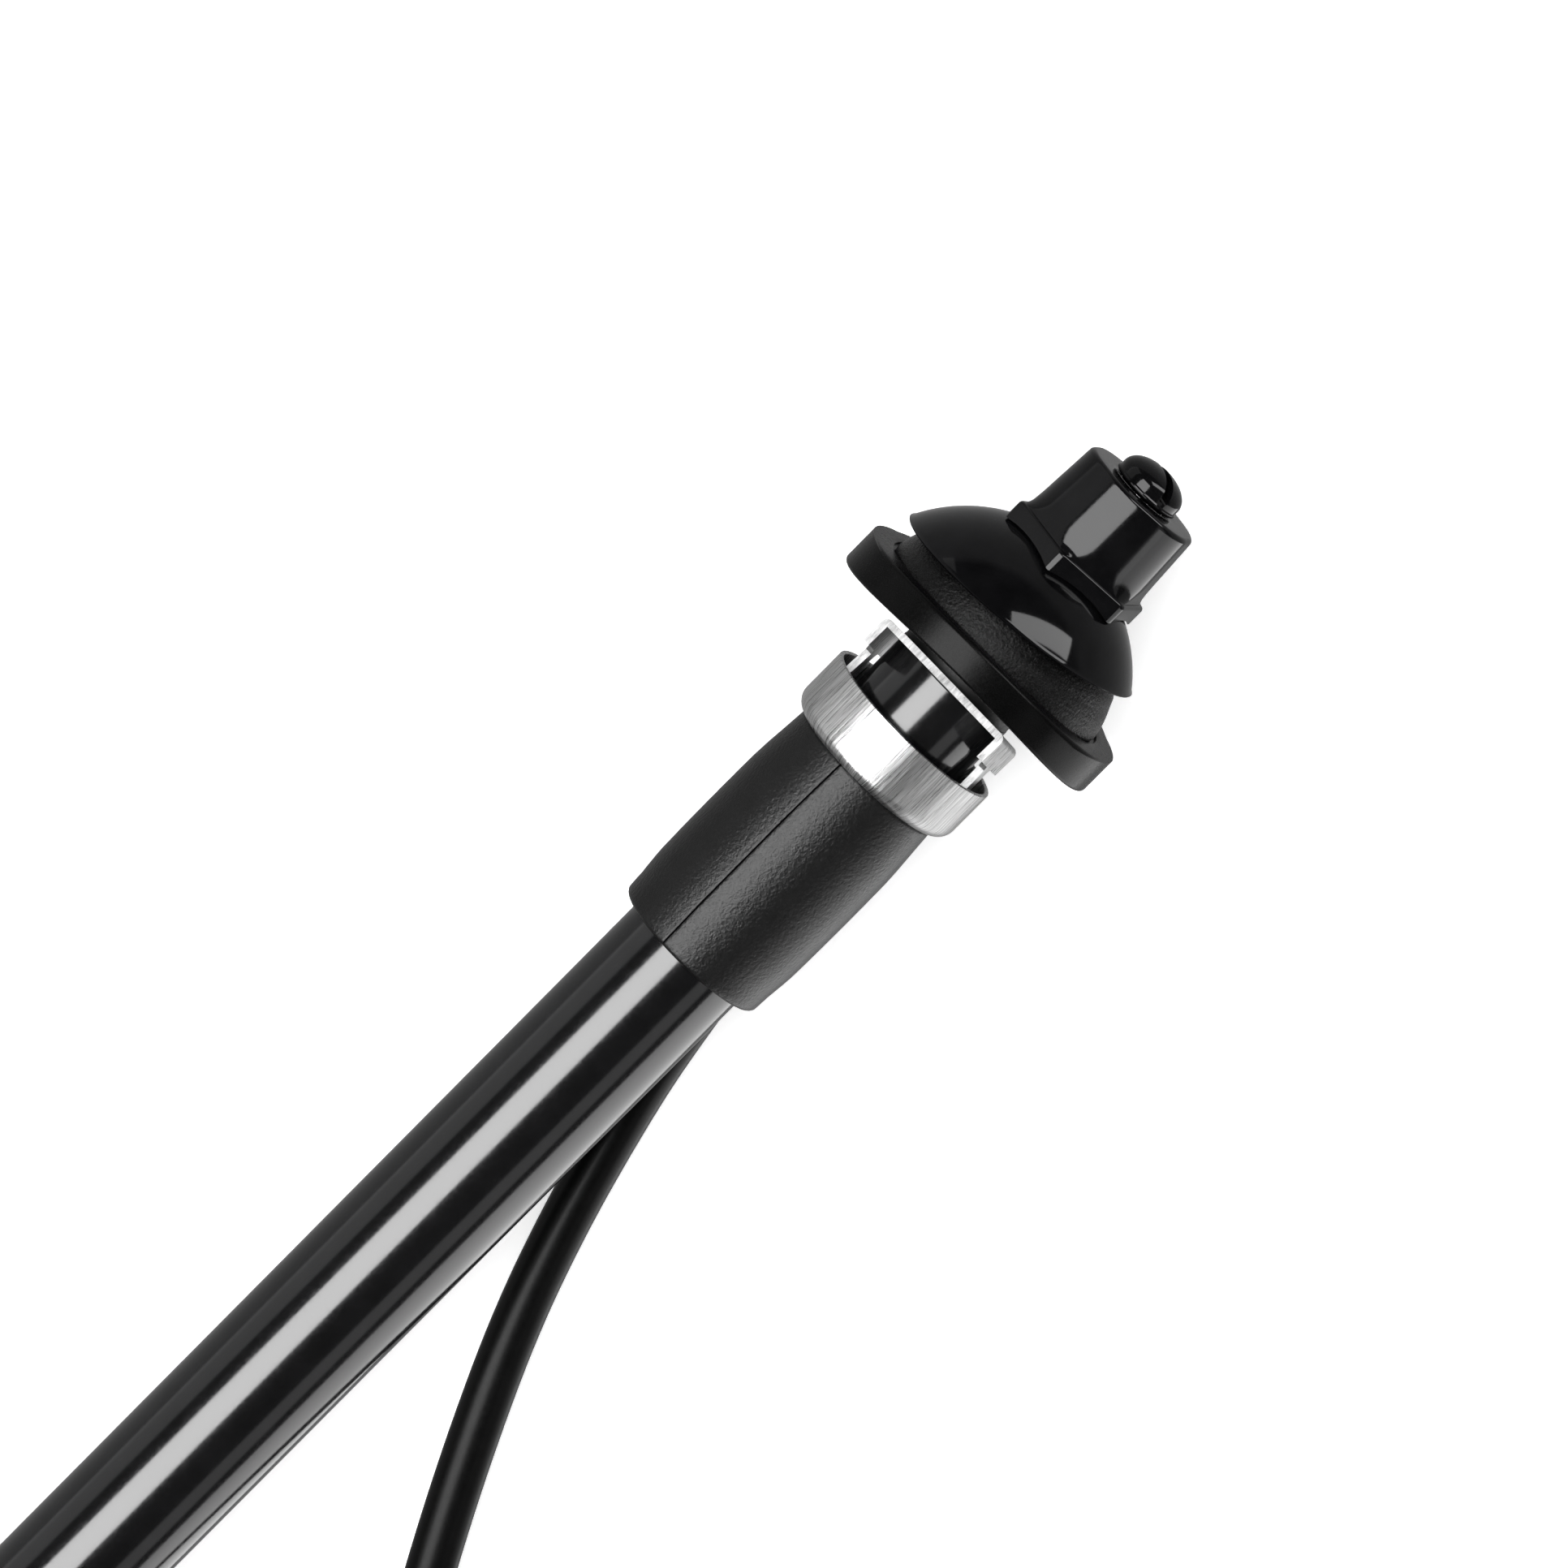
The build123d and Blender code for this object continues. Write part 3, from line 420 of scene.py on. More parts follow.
# ------------------------------------------------------------------ the lead, first
LEAD_ROUTE = [
    (88.38, -4.38, 4.95), (79.47, -5.63, 4.67), (69.36, -7.85, 3.05), (58.37, -10.8, 2.82), (46.9, -14.7, 2.8),
    (34.9, -20.0, 2.8), (22.4, -26.2, 2.8), (9.4, -33.4, 2.8), (-2.6, -42.0, 2.8), (-14.2, -51.8, 2.8),
    (-26.0, -62.2, 2.8), (-37.9, -72.6, 2.8),
]
TAIL_ROUTE = [
    (-60.0, -80.5, 8.3), (-71.5, -80.8, 8.1), (-82.5, -81.1, 5.2), (-92.5, -80.6, 3.0), (-101.5, -79.6, 3.5),
    (-110.0, -79.0, 5.02),
]
COIL_AT = (-60.0, -46.0)
COIL_START = 309.6      # world angle at which the lead joins the coil; it winds clockwise, seen from above


def coil_point(phi):
    """Centre of the lead at phi degrees of winding: three turns inwards on the floor, a climb, then outwards on top."""
    turn, local = int(phi // 360), phi % 360
    t = max(0.0, min(1.0, (local - 300.0) / 60.0))
    s = t * t * (3 - 2 * t)
    bulge = math.sin(math.pi * t)
    if turn == 0:
        r, z = 34.5 - 5.5 * s, 2.8
    elif turn == 1:
        r, z = 29.0 - 5.5 * s, 2.8
    elif turn == 2:
        r, z = 23.5 - 2.05 * bulge, 2.8 + 5.5 * s
    elif turn == 3:
        r, z = 23.5 + 5.5 * s, 8.3
    elif turn == 4:
        r, z = 29.0 + 5.5 * s, 8.3
    else:
        r, z = 34.5, 8.3
    return r, z, math.radians(COIL_START - phi)


route = list(LEAD_ROUTE)
phi = 15.0
while phi < 1830.0:
    r, z, a = coil_point(phi)
    k = 1.0086
    wobble = 0.12 * math.sin(phi * 0.031) + 0.08 * math.sin(phi * 0.083 + 1.0)
    route.append((COIL_AT[0] + (r * k + wobble) * math.cos(a), COIL_AT[1] + (r * k + wobble) * math.sin(a), z))
    phi += 15.0
route += TAIL_ROUTE

curve = bpy.data.curves.new("lead", "CURVE")
curve.dimensions = "3D"
spline = curve.splines.new("NURBS")
spline.points.add(len(route) - 1)
for p, (x, y, z) in zip(spline.points, route):
    p.co = (x / 1000, y / 1000, z / 1000, 1)
spline.order_u = 3
spline.use_endpoint_u = True
spline.resolution_u = 8
curve.bevel_depth = 0.00275
curve.bevel_resolution = 10
curve.use_fill_caps = True
lead = bpy.data.objects.new("lead", curve)
scene.collection.objects.link(lead)
curve.materials.append(mats["lead_black"].mat)
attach(lead, "antenna_body")
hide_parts("lead_cable", "lead_coil", "lead_tail")

# strap round the coil: a thin band with a rounded rectangular section
TIE_AZ = math.radians(-160)
tie_m = Matrix.Identity(4)
tie_dir = Vector((math.cos(TIE_AZ), math.sin(TIE_AZ), 0))
tie_side = Vector((-math.sin(TIE_AZ), math.cos(TIE_AZ), 0))
for col, v in enumerate((tie_dir, Vector((0, 0, 1)), tie_side * -1, Vector((COIL_AT[0] / 1000, COIL_AT[1] / 1000, 0)) + tie_dir * 0.029 + Vector((0, 0, 0.006)))):
    for row in range(3):
        tie_m[row][col] = v[row]


def band(name, corners, r, t, wide, slot, body, matrix, stands_for):
    """A closed strap: its outline, with corners rounded by r, is t thick and 2 * wide across."""
    def inset(d):
        out, n = [], len(corners)
        for i in range(n):
            p, q, o = Vector(corners[i]), Vector(corners[(i + 1) % n]), Vector(corners[i - 1])
            u, v = (p - o).normalized(), (q - p).normalized()
            nu, nv = Vector((-u.y, u.x)), Vector((-v.y, v.x))
            m = (nu + nv).normalized()
            out.append(tuple(p + m * (d / m.dot(nu))))
        return rounded(out, {i: max(0.4, r - d) for i in range(n)}, 8)
    e = 0.18
    rows = [(inset(t), -wide), (inset(e), -wide), (inset(0), -wide + e), (inset(0), wide - e), (inset(e), wide), (inset(t), wide)]
    verts, faces, n = [], [], len(rows[0][0])
    for pts, z in rows:
        verts += [(x, y, z) for x, y in pts]
    for i in range(len(rows)):
        j = (i + 1) % len(rows)
        for k in range(n):
            l = (k + 1) % n
            faces.append((i * n + k, i * n + l, j * n + l, j * n + k))
    return make(name, verts, faces, slot, body, stands_for, 35.0, matrix)


strap = band("coil_strap", [(-9.3, -6.0), (9.3, -6.0), (9.3, 0.2), (3.7, 6.0), (-9.3, 6.0)], 2.2, 0.75, 2.4, "tie_black", "antenna_body", tie_m, ("coil_tie",))

# plug, turned about its own axis along -X
plug_m = Matrix.Identity(4)
for col, v in enumerate((Vector((0, 0, 1)), Vector((0, -1, 0)) * -1, Vector((-1, 0, 0)), Vector((-0.110, -0.079, 0.00502)))):
    for row in range(3):
        plug_m[row][col] = v[row]
boot_loop = [(0, 0), (3.0, 0), (3.3, 0.4)]
for k in range(6):      # moulded ribs
    z0 = 1.6 + k * 1.9
    r0 = 3.32 + 0.052 * z0
    boot_loop += [(r0, z0), (r0 - 0.35, z0 + 0.25), (r0 - 0.32, z0 + 0.85), (r0 + 0.06, z0 + 1.1)]
boot_loop += [(4.0, 13.1), (4.6, 13.5), (4.9, 14.1), (4.9, 20.6), (4.6, 21), (3.0, 21), (3.0, 23), (0, 23)]
boot = lathe("plug_boot_shape", boot_loop, "boot_black", "antenna_body", ("plug_boot",), 96, 40, matrix=plug_m)
shell = lathe("plug_shell_shape", [(3.0, 21), (4.6, 21), (4.85, 21.15), (4.95, 21.4), (4.95, 26.7), (4.85, 27.2), (4.6, 27.6), (4.6, 38.4), (4.5, 38.85),
                                   (4.3, 39), (4.0, 39), (4.0, 25), (3.0, 25)], "plug_nickel", "antenna_body", ("plug_shell",), 128, 35, matrix=plug_m)
pin = lathe("plug_pin_shape", [(0, 23), (1.4, 23), (1.4, 37.4), (1.6, 37.6), (1.6, 48.4), (1.5, 49.0), (1.25, 49.5), (0.85, 49.84), (0.4, 49.97), (0, 50)],
            "plug_nickel", "antenna_body", ("plug_pin",), 64, 35, matrix=plug_m)

# ------------------------------------------------------------------ mast: tip button and four stages
SLOT_AZ = 33.0
tip_outline = rounded([(0, 29.08), (3.75, 29.08), (4.05, 29.28), (4.05, 29.55), (3.92, 29.7), (3.92, 30.15)], {2: 0.08, 3: 0.08}, 4)
dome_part = []
for k in range(1, 25):
    t = k / 24
    r = 3.92 * math.cos(t * math.pi / 2) ** 0.92
    z = 30.15 + 2.2 * math.sin(t * math.pi / 2)
    dome_part.append((r if k < 24 else 0.0, z))


def tip_height(r):
    pts = [(3.92, 30.15)] + dome_part
    for (ra, za), (rb, zb) in zip(pts, pts[1:]):
        if rb <= r <= ra:
            return za + (zb - za) * ((ra - r) / (ra - rb) if ra > rb else 0)
    return 30.15


tip = lathe("tip_button_shape", tip_outline + dome_part, "tip_black", "mast_4", ("tip_button",), 192, 30)
cutter_mesh = bpy.data.meshes.new("slot_cut")
sx, sy = polar(SLOT_AZ)
cut_verts, hw, fl = [], 0.55, 0.12
section = [(-hw, 34.0), (-hw, 30.1 + fl), (-hw + fl, 30.1), (hw - fl, 30.1), (hw, 30.1 + fl), (hw, 34.0)]
for e in (-6, 6):
    for w, z in section:
        cut_verts.append(((e * sx - w * sy) / 1000, (e * sy + w * sx) / 1000, z / 1000))
ns = len(section)
cut_faces = [tuple(range(ns)), tuple(range(2 * ns - 1, ns - 1, -1))] + [(k, ns + k, ns + (k + 1) % ns, (k + 1) % ns) for k in range(ns)]
cutter_mesh.from_pydata(cut_verts, [], cut_faces)
cutter = bpy.data.objects.new("slot_cut", cutter_mesh)
scene.collection.objects.link(cutter)
cutter.matrix_world = LOCAL
bpy.context.view_layer.update()
import bmesh
bm = bmesh.new()
bm.from_mesh(cutter_mesh)
bmesh.ops.recalc_face_normals(bm, faces=bm.faces)
bm.to_mesh(cutter_mesh)
bm.free()
bm = bmesh.new()
bm.from_mesh(tip.data)
bmesh.ops.recalc_face_normals(bm, faces=bm.faces)
bm.to_mesh(tip.data)
bm.free()
cut = tip.modifiers.new("slot", "BOOLEAN")
cut.operation = "DIFFERENCE"
cut.solver = "EXACT"
cut.object = cutter
bpy.context.view_layer.update()
cut_mesh = bpy.data.meshes.new_from_object(tip.evaluated_get(bpy.context.evaluated_depsgraph_get()))
tip.modifiers.clear()
tip.data = cut_mesh
bpy.data.objects.remove(cutter)
for p in tip.data.polygons:
    p.use_smooth = True
tip.data.set_sharp_from_angle(angle=math.radians(30))

ROD_R, WALL = 1.3, 0.35
lathe("rod_shape", [(0, -246), (1.2, -246), (1.3, -245.9), (1.3, 29.08), (0.9, 29.08), (0.9, 29.9), (0, 29.9)], "mast_chrome", "mast_4", ("mast_rod",), 64, 35)
for name, node, body, r, inner, z0 in (("stage_c", "mast_stage_3", "mast_3", 1.9, 1.35, -252), ("stage_b", "mast_stage_2", "mast_2", 2.5, 1.95, -258),
                                       ("stage_a", "mast_stage_1", "mast_1", 3.1, 2.55, -266)):
    lathe(name, rounded([(r - WALL, z0), (r, z0), (r, 28.6), (r - 0.2, 28.9), (inner, 28.9), (inner, 25.9), (r - WALL, 25.6)], {2: 0.25, 3: 0.1}, 4),
          "mast_chrome", body, (node,), 96, 35)

# ------------------------------------------------------------------ head nut
NUT_TURN = -10.4


def hex_ring(af, f, n_arc=18, n_flat=6):
    """Rounded hexagon: corner arcs of radius f, joined by flats."""
    pts, d = [], af / math.sqrt(3) - f / math.cos(math.radians(30))
    for c in range(6):
        a = NUT_TURN + 60 * c
        cx, cy = d * math.cos(math.radians(a)), d * math.sin(math.radians(a))
        ring = [(cx + f * math.cos(math.radians(a - 30 + 60 * k / n_arc)), cy + f * math.sin(math.radians(a - 30 + 60 * k / n_arc))) for k in range(n_arc + 1)]
        b = a + 60
        nx, ny = d * math.cos(math.radians(b)) + f * math.cos(math.radians(b - 30)), d * math.sin(math.radians(b)) + f * math.sin(math.radians(b - 30))
        pts += ring
        ex, ey = ring[-1]
        pts += [(ex + (nx - ex) * k / n_flat, ey + (ny - ey) * k / n_flat) for k in range(1, n_flat)]
    return pts


N_HEX = len(hex_ring(16, 1))
ANGLES = [math.atan2(y, x) for x, y in hex_ring(15, 3.0)]


def circle_ring(r):
    return [(r * math.cos(a), r * math.sin(a)) for a in ANGLES]


def ball_z(x, y, radius=17.75):
    return BALL_Z + math.sqrt(radius * radius - x * x - y * y)


rows = []


def add_row(pts, z):
    rows.append([(x, y, z if not callable(z) else z(x, y)) for x, y in pts])


add_row(circle_ring(7.3), ball_z)
add_row(circle_ring(7.55), ball_z)
add_row(hex_ring(15.7, 0.85), lambda x, y: ball_z(x, y) + 0.0)
add_row(hex_ring(15.93, 0.9), lambda x, y: ball_z(x, y) + 0.10)
add_row(hex_ring(16.0, 0.9), lambda x, y: ball_z(x, y) + 0.25)
for z in (19.0, 19.45):
    add_row(hex_ring(16.0, 0.9), z)
for k in range(1, 7):       # rounded shoulder of the collar
    a = math.radians(15 * k)
    add_row(hex_ring(16.0 - 0.9 * (1 - math.cos(a)), 0.9 + 0.25 * k / 6), 19.45 + 0.45 * math.sin(a))
add_row(hex_ring(15.1, 2.1), 20.0)
add_row(hex_ring(15.0, 3.0), 20.2)
add_row(hex_ring(14.98, 4.2), 20.6)
add_row(hex_ring(15.0, 5.1), 21.2)
add_row(hex_ring(15.0, 5.8), 21.9)
for k in range(1, 9):
    t = k / 8
    add_row(hex_ring(15.0 - 0.66 * t, 5.8), 21.9 + 6.45 * t)
TOPF = 0.6
for k in range(1, 9):
    a = math.radians(90 * k / 8)
    add_row(hex_ring(14.34 - 2 * TOPF * (1 - math.cos(a)), 5.8 - TOPF * (1 - math.cos(a))), 28.4 + TOPF * math.sin(a))
for r in (5.6, 4.6, 3.95):
    add_row(circle_ring(r), 29.0)
add_row(circle_ring(3.72), 28.94)
add_row(circle_ring(3.6), 28.8)
add_row(circle_ring(3.42), 28.5)
add_row(circle_ring(3.4), 26.62)
add_row(circle_ring(4.58), 26.62)
add_row(circle_ring(4.58), 20.1)
add_row(circle_ring(7.3), 20.1)
verts = [v for row in rows for v in row]
faces = []
for i in range(len(rows)):
    j = (i + 1) % len(rows)
    for k in range(N_HEX):
        l = (k + 1) % N_HEX
        faces.append((i * N_HEX + k, i * N_HEX + l, j * N_HEX + l, j * N_HEX + k))
make("head_nut_shape", verts, faces, "nut_black", "nut", ("head_nut",), 33)

# ------------------------------------------------------------------ dome: a polished cap that leans on the ball
lean_dome = math.radians(5.4)


def on_ball(x, y, z):
    """From the dome's own frame about the ball centre to the mast's frame."""
    return (x, y * math.cos(lean_dome) - z * math.sin(lean_dome), BALL_Z + y * math.sin(lean_dome) + z * math.cos(lean_dome))


def cap(radius, r):
    return math.sqrt(radius * radius - r * r)


DR, DI, RIM = 17.6, 16.3, 9.14
ro, ri = cap(DR, RIM), cap(DI, RIM)
outer = []
for k in range(41):
    a = math.asin(6.4 / DR) + (math.acos((RIM + 0.32) / DR) - math.asin(6.4 / DR)) * k / 40
    outer.append((DR * math.sin(a), DR * math.cos(a)))
lip = [(ro - 0.02, RIM + 0.18), (ro - 0.10, RIM + 0.06), (ro - 0.24, RIM), (ri + 0.1, RIM)]
inner = []
for k in range(21):
    a = math.acos(RIM / DI) + (math.asin(6.4 / DI) - math.acos(RIM / DI)) * k / 20
    inner.append((DI * math.sin(a), DI * math.cos(a)))
lathe("dome_shape", outer + lip + inner, "dome_black", "dome", ("dome_cap",), 256, 40, place=on_ball)

# ------------------------------------------------------------------ seat
SB = 15.8


def seat_ball(r):
    return BALL_Z + cap(SB, r)


seat = [(8.8, 6.35), (14.2, 6.35), (14.36, 6.42), (14.46, 6.62), (14.44, 6.95), (14.36, 7.45), (14.22, 8.05), (14.03, 8.65), (13.78, 9.3), (13.5, 9.92),
        (13.25, 10.5), (13.05, seat_ball(13.05))]
seat += [(r, seat_ball(r)) for r in [13.0 - 0.28 * k for k in range(1, 21)]]
seat += [(7.4, 13.2), (8.8, 11.6)]
lathe("seat_shape", seat, "seat_black", "base", ("swivel_seat",), 256, 40)

# ------------------------------------------------------------------ rubber pad, bent across the panel
def pad_low(s):
    return 4.1 - (67.0 - math.sqrt(67.0 ** 2 - s * s))


def pad_high(s):
    return 7.75 - (96.0 - math.sqrt(96.0 ** 2 - s * s))


PAD_R = 17.55
E = 0.55
pad_profile = [(8.8, "low", 0.0), (12.0, "low", 0.0), (PAD_R - E - 0.6, "low", 0.0)]
for k in range(9):
    a = math.radians(-90 + 90 * k / 8)
    pad_profile.append((PAD_R - E + E * math.cos(a), "low", E + E * math.sin(a)))
for f in (0.25, 0.5, 0.75):
    pad_profile.append((PAD_R, "mid", f))
for k in range(9):
    a = math.radians(90 * k / 8)
    pad_profile.append((PAD_R - E + E * math.cos(a), "high", -E + E * math.sin(a)))
pad_profile += [(PAD_R - E - 0.6, "high", 0.0), (15.6, "high", 0.0), (15.0, "high", 0.0), (14.86, "high", -0.06), (14.78, "high", -0.22)]
pad_profile += [(14.76, "flat", 6.3), (12.0, "flat", 6.3), (8.8, "flat", 6.3)]
SEG = 288
verts, faces = [], []
for r, kind, q in pad_profile:
    for k in range(SEG):
        a = 2 * math.pi * k / SEG
        x, y = r * math.cos(a), r * math.sin(a)
        lo_z, hi_z = pad_low(y), pad_high(y)
        if kind == "low":
            z = lo_z + q
        elif kind == "high":
            z = max(hi_z + q, 6.32)
        elif kind == "mid":
            z = lo_z + E + (hi_z - lo_z - 2 * E) * q
        else:
            z = q
        verts.append((x, y, z))
n = len(pad_profile)
for i in range(n):
    j = (i + 1) % n
    for k in range(SEG):
        l = (k + 1) % SEG
        faces.append((i * SEG + k, i * SEG + l, j * SEG + l, j * SEG + k))
make("pad_shape", verts, faces, "pad_rubber", "base", ("rubber_pad",), 40)

# ------------------------------------------------------------------ cup, tube, end cap
CUP_LOOP = rounded([(8.15, -12.7), (10.85, -12.7), (10.85, -5.6), (10.35, -5.6), (10.35, -12.2), (8.15, -12.2)], {1: 1.8, 2: 0.15, 3: 0.15, 4: 1.3}, 8)
cup_fine = []
for (ra, za), (rb, zb) in zip(CUP_LOOP, CUP_LOOP[1:] + CUP_LOOP[:1]):
    steps = max(1, int(math.hypot(ra - rb, za - zb) / 1.2))
    cup_fine += [(ra + (rb - ra) * k / steps, za + (zb - za) * k / steps) for k in range(steps)]
lathe("cup_shape", cup_fine, "cup_steel", "antenna_body", ("clamp_cup",), 256, 35)
lathe("tube_shape", rounded([(6.5, -290), (7.5, -290), (7.5, 0.6), (6.5, 0.6)], {1: 0.2, 2: 0.05}, 4), "tube_black", "antenna_body", ("housing_tube",), 192, 35)
# the last few millimetres, inside the pad, are left matt
lathe("tube_mouth", rounded([(6.5, 0.6), (7.44, 0.6), (7.44, 6.0), (6.5, 6.0)], {1: 0.05, 2: 0.35}, 4), "gland_black", "antenna_body", (), 192, 35)
CAP_LOOP = rounded([(2.0, -294), (8.25, -294), (8.25, -282), (7.5, -282), (7.5, -290), (2.0, -290)], {1: 0.9, 2: 0.25}, 8)
lathe("end_cap_shape", CAP_LOOP, "cap_black", "antenna_body", ("end_cap",), 160, 35)

# ------------------------------------------------------------------ sleeve: two shells with a swelling for the lead
SEAM_AZ = -16.0
LOBE_R, LEAD_OFF, OUT_LEAN = 4.6, 11.6, math.radians(8.0)
lx, ly = polar(SEAM_AZ + 180)
out_dir = Vector((0, math.sin(OUT_LEAN), -math.cos(OUT_LEAN)))
out_pt = Vector((lx * LEAD_OFF, ly * LEAD_OFF, -34.0))
PROFILE = [(-39.9, 8.95), (-39.75, 9.14), (-39.5, 9.3), (-38.6, 9.36), (-37.6, 9.4), (-36.7, 9.49), (-35.8, 9.58), (-34.9, 9.65), (-34.1, 9.7), (-31.0, 9.76),
           (-27.0, 9.79), (-23.5, 9.785), (-20.0, 9.75), (-18.0, 9.64), (-16.6, 9.535), (-14.9, 9.4), (-13.6, 9.31), (-13.0, 9.27), (-12.8, 9.2), (-12.7, 9.05)]


def body_r(z):
    for (za, ra), (zb, rb) in zip(PROFILE, PROFILE[1:]):
        if za <= z <= zb:
            return ra + (rb - ra) * (z - za) / (zb - za)
    return PROFILE[0][1]


def lobe_at(z):
    """Centre (x, y) and radius of the swelling at height z."""
    t = (z - out_pt.z) / out_dir.z
    c = out_pt + out_dir * t
    if z <= -30.6:
        return c.x, c.y, LOBE_R
    f = min(1.0, (z + 30.6) / 15.1)
    f = f * f * (3 - 2 * f)
    return c.x + (lx * 7.4 - c.x) * f, c.y + (ly * 7.4 - c.y) * f, LOBE_R + (1.7 - LOBE_R) * f


def sleeve_r(az, z):
    ex, ey = polar(az)
    r0 = body_r(z)
    cx, cy, rr = lobe_at(z)
    along, off = cx * ex + cy * ey, cx * ey - cy * ex
    if along > 0 and abs(off) < rr:
        r1 = along + math.sqrt(rr * rr - off * off)
    else:
        r1 = 0.0
    if z > -15.6 or r1 <= 0:
        return r0
    # a small fillet where the swelling meets the round body
    k = 1.2
    h = max(k - abs(r0 - r1), 0.0) / k
    return max(r0, r1) + h * h * k * 0.25


def sleeve_half(name, az0, az1, node):
    heights = [-39.9, -39.75, -39.5, -39.0, -38.3]
    z = -37.6
    while z < -16.4:
        heights.append(z)
        z += 0.7
    heights += [-16.2, -15.4, -14.6, -13.8, -13.3, -13.0, -12.85, -12.7]
    n_a = 150
    gap = 0.25
    az_list = [az0 + gap, az0 + gap + 0.35, az0 + gap + 0.9]
    az_list += [az0 + 2.0 + (az1 - az0 - 4.0) * k / n_a for k in range(n_a + 1)]
    az_list += [az1 - gap - 0.9, az1 - gap - 0.35, az1 - gap]
    verts, faces = [], []
    na, nh = len(az_list), len(heights)
    for z in heights:
        for i, az in enumerate(az_list):
            r = sleeve_r(az, z)
            if i in (0, na - 1):
                r -= 0.13
            elif i in (1, na - 2):
                r -= 0.03
            ex, ey = polar(az)
            verts.append((r * ex, r * ey, z))
    base_in = len(verts)
    for z in heights:
        for az in az_list:
            ex, ey = polar(az)
            rin = 7.52 if z < -13.5 else 8.1
            verts.append((rin * ex, rin * ey, z))
    for j in range(nh - 1):
        for i in range(na - 1):
            a, b, c, d = j * na + i, j * na + i + 1, (j + 1) * na + i + 1, (j + 1) * na + i
            faces.append((a, b, c, d))
            faces.append((base_in + a, base_in + d, base_in + c, base_in + b))
    for i in range(na - 1):
        faces.append((i, base_in + i, base_in + i + 1, i + 1))
        t = (nh - 1) * na
        faces.append((t + i, t + i + 1, base_in + t + i + 1, base_in + t + i))
    for j in range(nh - 1):
        a, b = j * na, (j + 1) * na
        faces.append((a, b, base_in + b, base_in + a))
        a, b = a + na - 1, b + na - 1
        faces.append((a, base_in + a, base_in + b, b))
    return make(name, verts, faces, "sleeve_black", "antenna_body", (node,), 40)


sleeve_half("sleeve_shell_a", SEAM_AZ, SEAM_AZ + 180, "sleeve_right")
sleeve_half("sleeve_shell_b", SEAM_AZ - 180, SEAM_AZ, "sleeve_left")

# ------------------------------------------------------------------ floor, world and lights
floor_mesh = bpy.data.meshes.new("floor")
floor_mesh.from_pydata([(-12, -12, -0.0001), (12, -12, -0.0001), (12, 12, -0.0001), (-12, 12, -0.0001)], [], [(0, 1, 2, 3)])
floor = bpy.data.objects.new("floor", floor_mesh)
scene.collection.objects.link(floor)
fm = Mat("pale_floor", (0.9, 0.9, 0.9), 0.9, specular=0.1)
fm.tint(fm.noise(0.02, 2), (0.89, 0.89, 0.89), (0.91, 0.91, 0.91))
fm.bsdf.inputs["Emission Color"].default_value = (1, 1, 1, 1)
fm.bsdf.inputs["Emission Strength"].default_value = 0.6
floor_mesh.materials.append(fm.mat)
floor.visible_glossy = False

world = bpy.data.worlds.new("studio")
scene.world = world
world.use_nodes = True
wt = world.node_tree
wt.nodes.clear()
w_out = wt.nodes.new("ShaderNodeOutputWorld")
bg_seen = wt.nodes.new("ShaderNodeBackground")
bg_seen.inputs["Color"].default_value = (1, 1, 1, 1)
bg_seen.inputs["Strength"].default_value = 1.0
bg_light = wt.nodes.new("ShaderNodeBackground")
bg_light.inputs["Color"].default_value = (1, 1, 1, 1)
# what reflects: a dim room above the horizon, a paler ground below it
w_dir = wt.nodes.new("ShaderNodeTexCoord")
w_sep = wt.nodes.new("ShaderNodeSeparateXYZ")
w_map = wt.nodes.new("ShaderNodeMapRange")
w_map.inputs["From Min"].default_value = -0.06
w_map.inputs["From Max"].default_value = 0.06
w_map.inputs["To Min"].default_value = 0.36
w_map.inputs["To Max"].default_value = 0.09
wt.links.new(w_dir.outputs["Generated"], w_sep.inputs[0])
wt.links.new(w_sep.outputs["Z"], w_map.inputs["Value"])
wt.links.new(w_map.outputs[0], bg_light.inputs["Strength"])
path = wt.nodes.new("ShaderNodeLightPath")
w_mix = wt.nodes.new("ShaderNodeMixShader")
wt.links.new(path.outputs["Is Camera Ray"], w_mix.inputs[0])
wt.links.new(bg_light.outputs[0], w_mix.inputs[1])
wt.links.new(bg_seen.outputs[0], w_mix.inputs[2])
wt.links.new(w_mix.outputs[0], w_out.inputs[0])


def softbox(name, centre, target, width, height, radiance, spin=0.0, diffuse=True, glossy=True):
    """A rectangular area light. Its own Y runs along the mast when spin is 0."""
    data = bpy.data.lights.new(name, "AREA")
    data.shape = "RECTANGLE"
    data.size, data.size_y = width, height
    data.energy = radiance * width * height * math.pi
    obj = bpy.data.objects.new(name, data)
    scene.collection.objects.link(obj)
    z = (centre - target).normalized()
    y = (AX - z * AX.dot(z)).normalized()
    x = y.cross(z)
    c, s = math.cos(math.radians(spin)), math.sin(math.radians(spin))
    x, y = x * c + y * s, y * c - x * s
    mm = Matrix.Identity(4)
    for col, v in enumerate((x, y, z, centre)):
        for row in range(3):
            mm[row][col] = v[row]
    obj.matrix_world = mm
    obj.visible_camera = False
    obj.visible_diffuse = diffuse
    obj.visible_glossy = glossy
    return obj


def only(light, *objs, include=True):
    """Lets a light reach just these pieces, or every piece but these."""
    group = bpy.data.collections.new(light.name + "_pieces")
    for obj in objs:
        group.objects.link(obj)
    light.light_linking.receiver_collection = group
    if not include:
        for entry in group.collection_objects:
            entry.light_linking.link_state = "EXCLUDE"


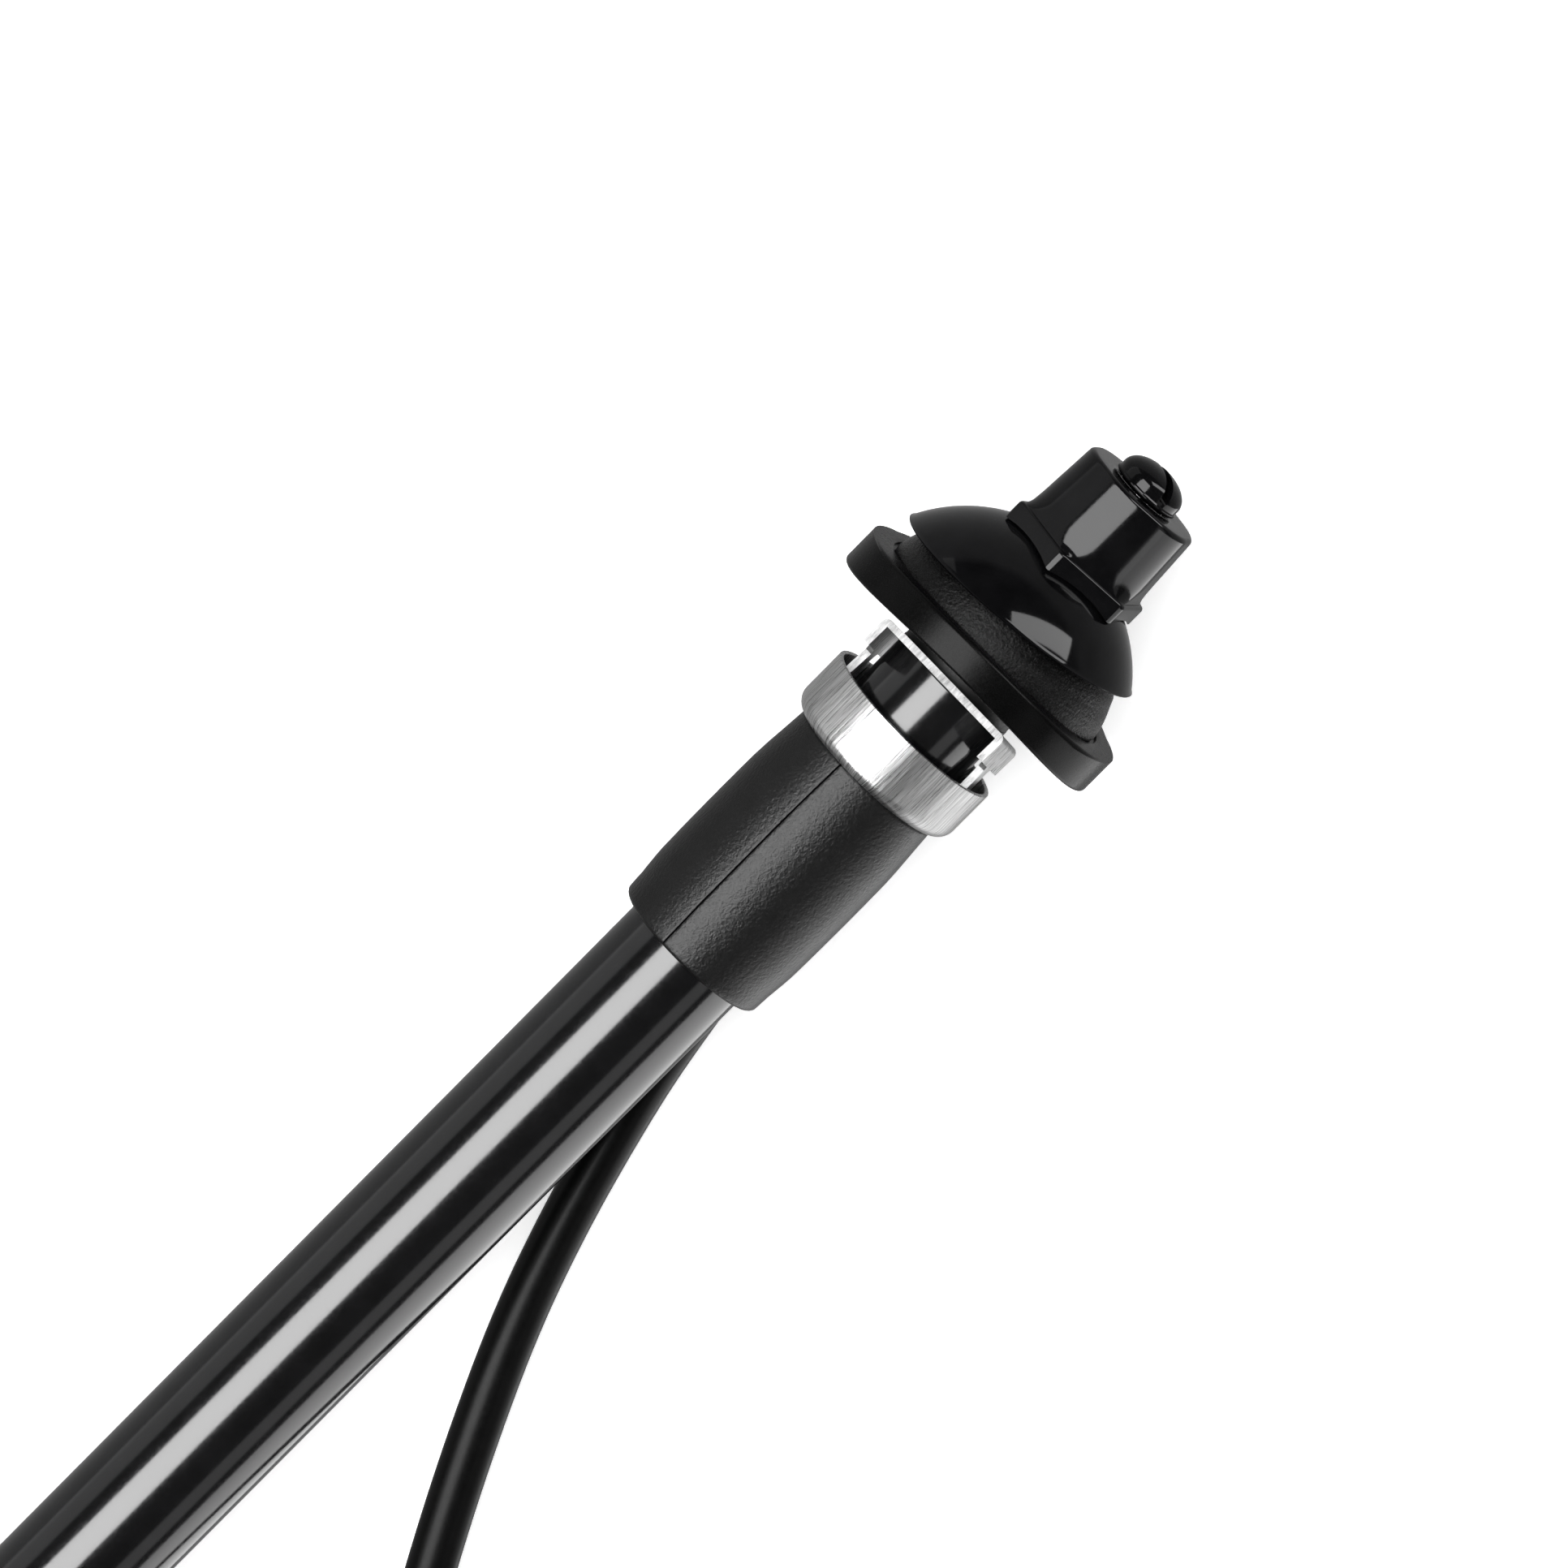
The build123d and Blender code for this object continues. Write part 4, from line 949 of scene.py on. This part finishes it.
def aloft(azimuth, distance, along=0.0):
    c, s = polar(azimuth)
    return at(0, 0, -40) + UP * (c * distance) + SIDE * (s * distance) + AX * along


# overhead fill that whitens the floor
softbox("fill_top", aloft(0, 2.2), at(0, 0, -40), 4.0, 4.0, 0.8, glossy=False)
# long strip for the bright line on tube, cup and sleeve
strip = softbox("strip", aloft(-18, 0.9, -0.16), at(0, 0, -40), 0.6, 1.7, 10.5, diffuse=False)
nut_shape = bpy.data.objects["head_nut_shape"]
only(strip, frame["nodes"]["claw_bracket"], nut_shape, include=False)
# wider copies of the strip and of the card give the nut its broad soft patches
only(softbox("strip_nut", aloft(-18, 0.9, -0.16), at(0, 0, -40), 1.3, 1.7, 10.5, diffuse=False), nut_shape)
only(softbox("card_nut", aloft(96, 0.8, -0.4), at(0, 0, -40) - AX * 0.4, 1.5, 1.0, 3.0, diffuse=False), nut_shape)
# the bright sheet metal of the bracket gets the same strip, turned down
only(softbox("strip_claw", aloft(-18, 0.9, -0.16), at(0, 0, -40), 0.9, 1.7, 1.9, diffuse=False), frame["nodes"]["claw_bracket"])
# wide, dimmer panels to the right and left
softbox("panel_right", aloft(58, 1.2, 0.0), at(0, 0, -40), 0.42, 1.6, 0.6, diffuse=False)
cup = bpy.data.objects["cup_shape"]
only(softbox("card_right", aloft(112, 0.8, -0.4), at(0, 0, -40) - AX * 0.4, 1.0, 1.0, 2.4, diffuse=False), cup, nut_shape, include=False)
only(softbox("card_cup", aloft(112, 0.8, -0.4), at(0, 0, -40) - AX * 0.4, 1.0, 1.0, 0.95, diffuse=False), cup)
softbox("panel_left", aloft(-77, 1.0, 0.0), at(0, 0, -40), 0.6, 1.8, 0.6, diffuse=False)
# panel beyond the head, for the patch low on the dome and the lines on the rims
softbox("panel_front", at(0, 0, 10) + (AX * 0.92 + UP * 0.33 + SIDE * 0.27) * 1.1, at(0, 0, 10), 0.9, 0.3, 9.0, spin=0, diffuse=False)
# soft light that models the matt pieces
softbox("key_soft", aloft(-12, 1.1, 0.1), at(0, 0, -20), 0.7, 0.9, 5.0, glossy=False)
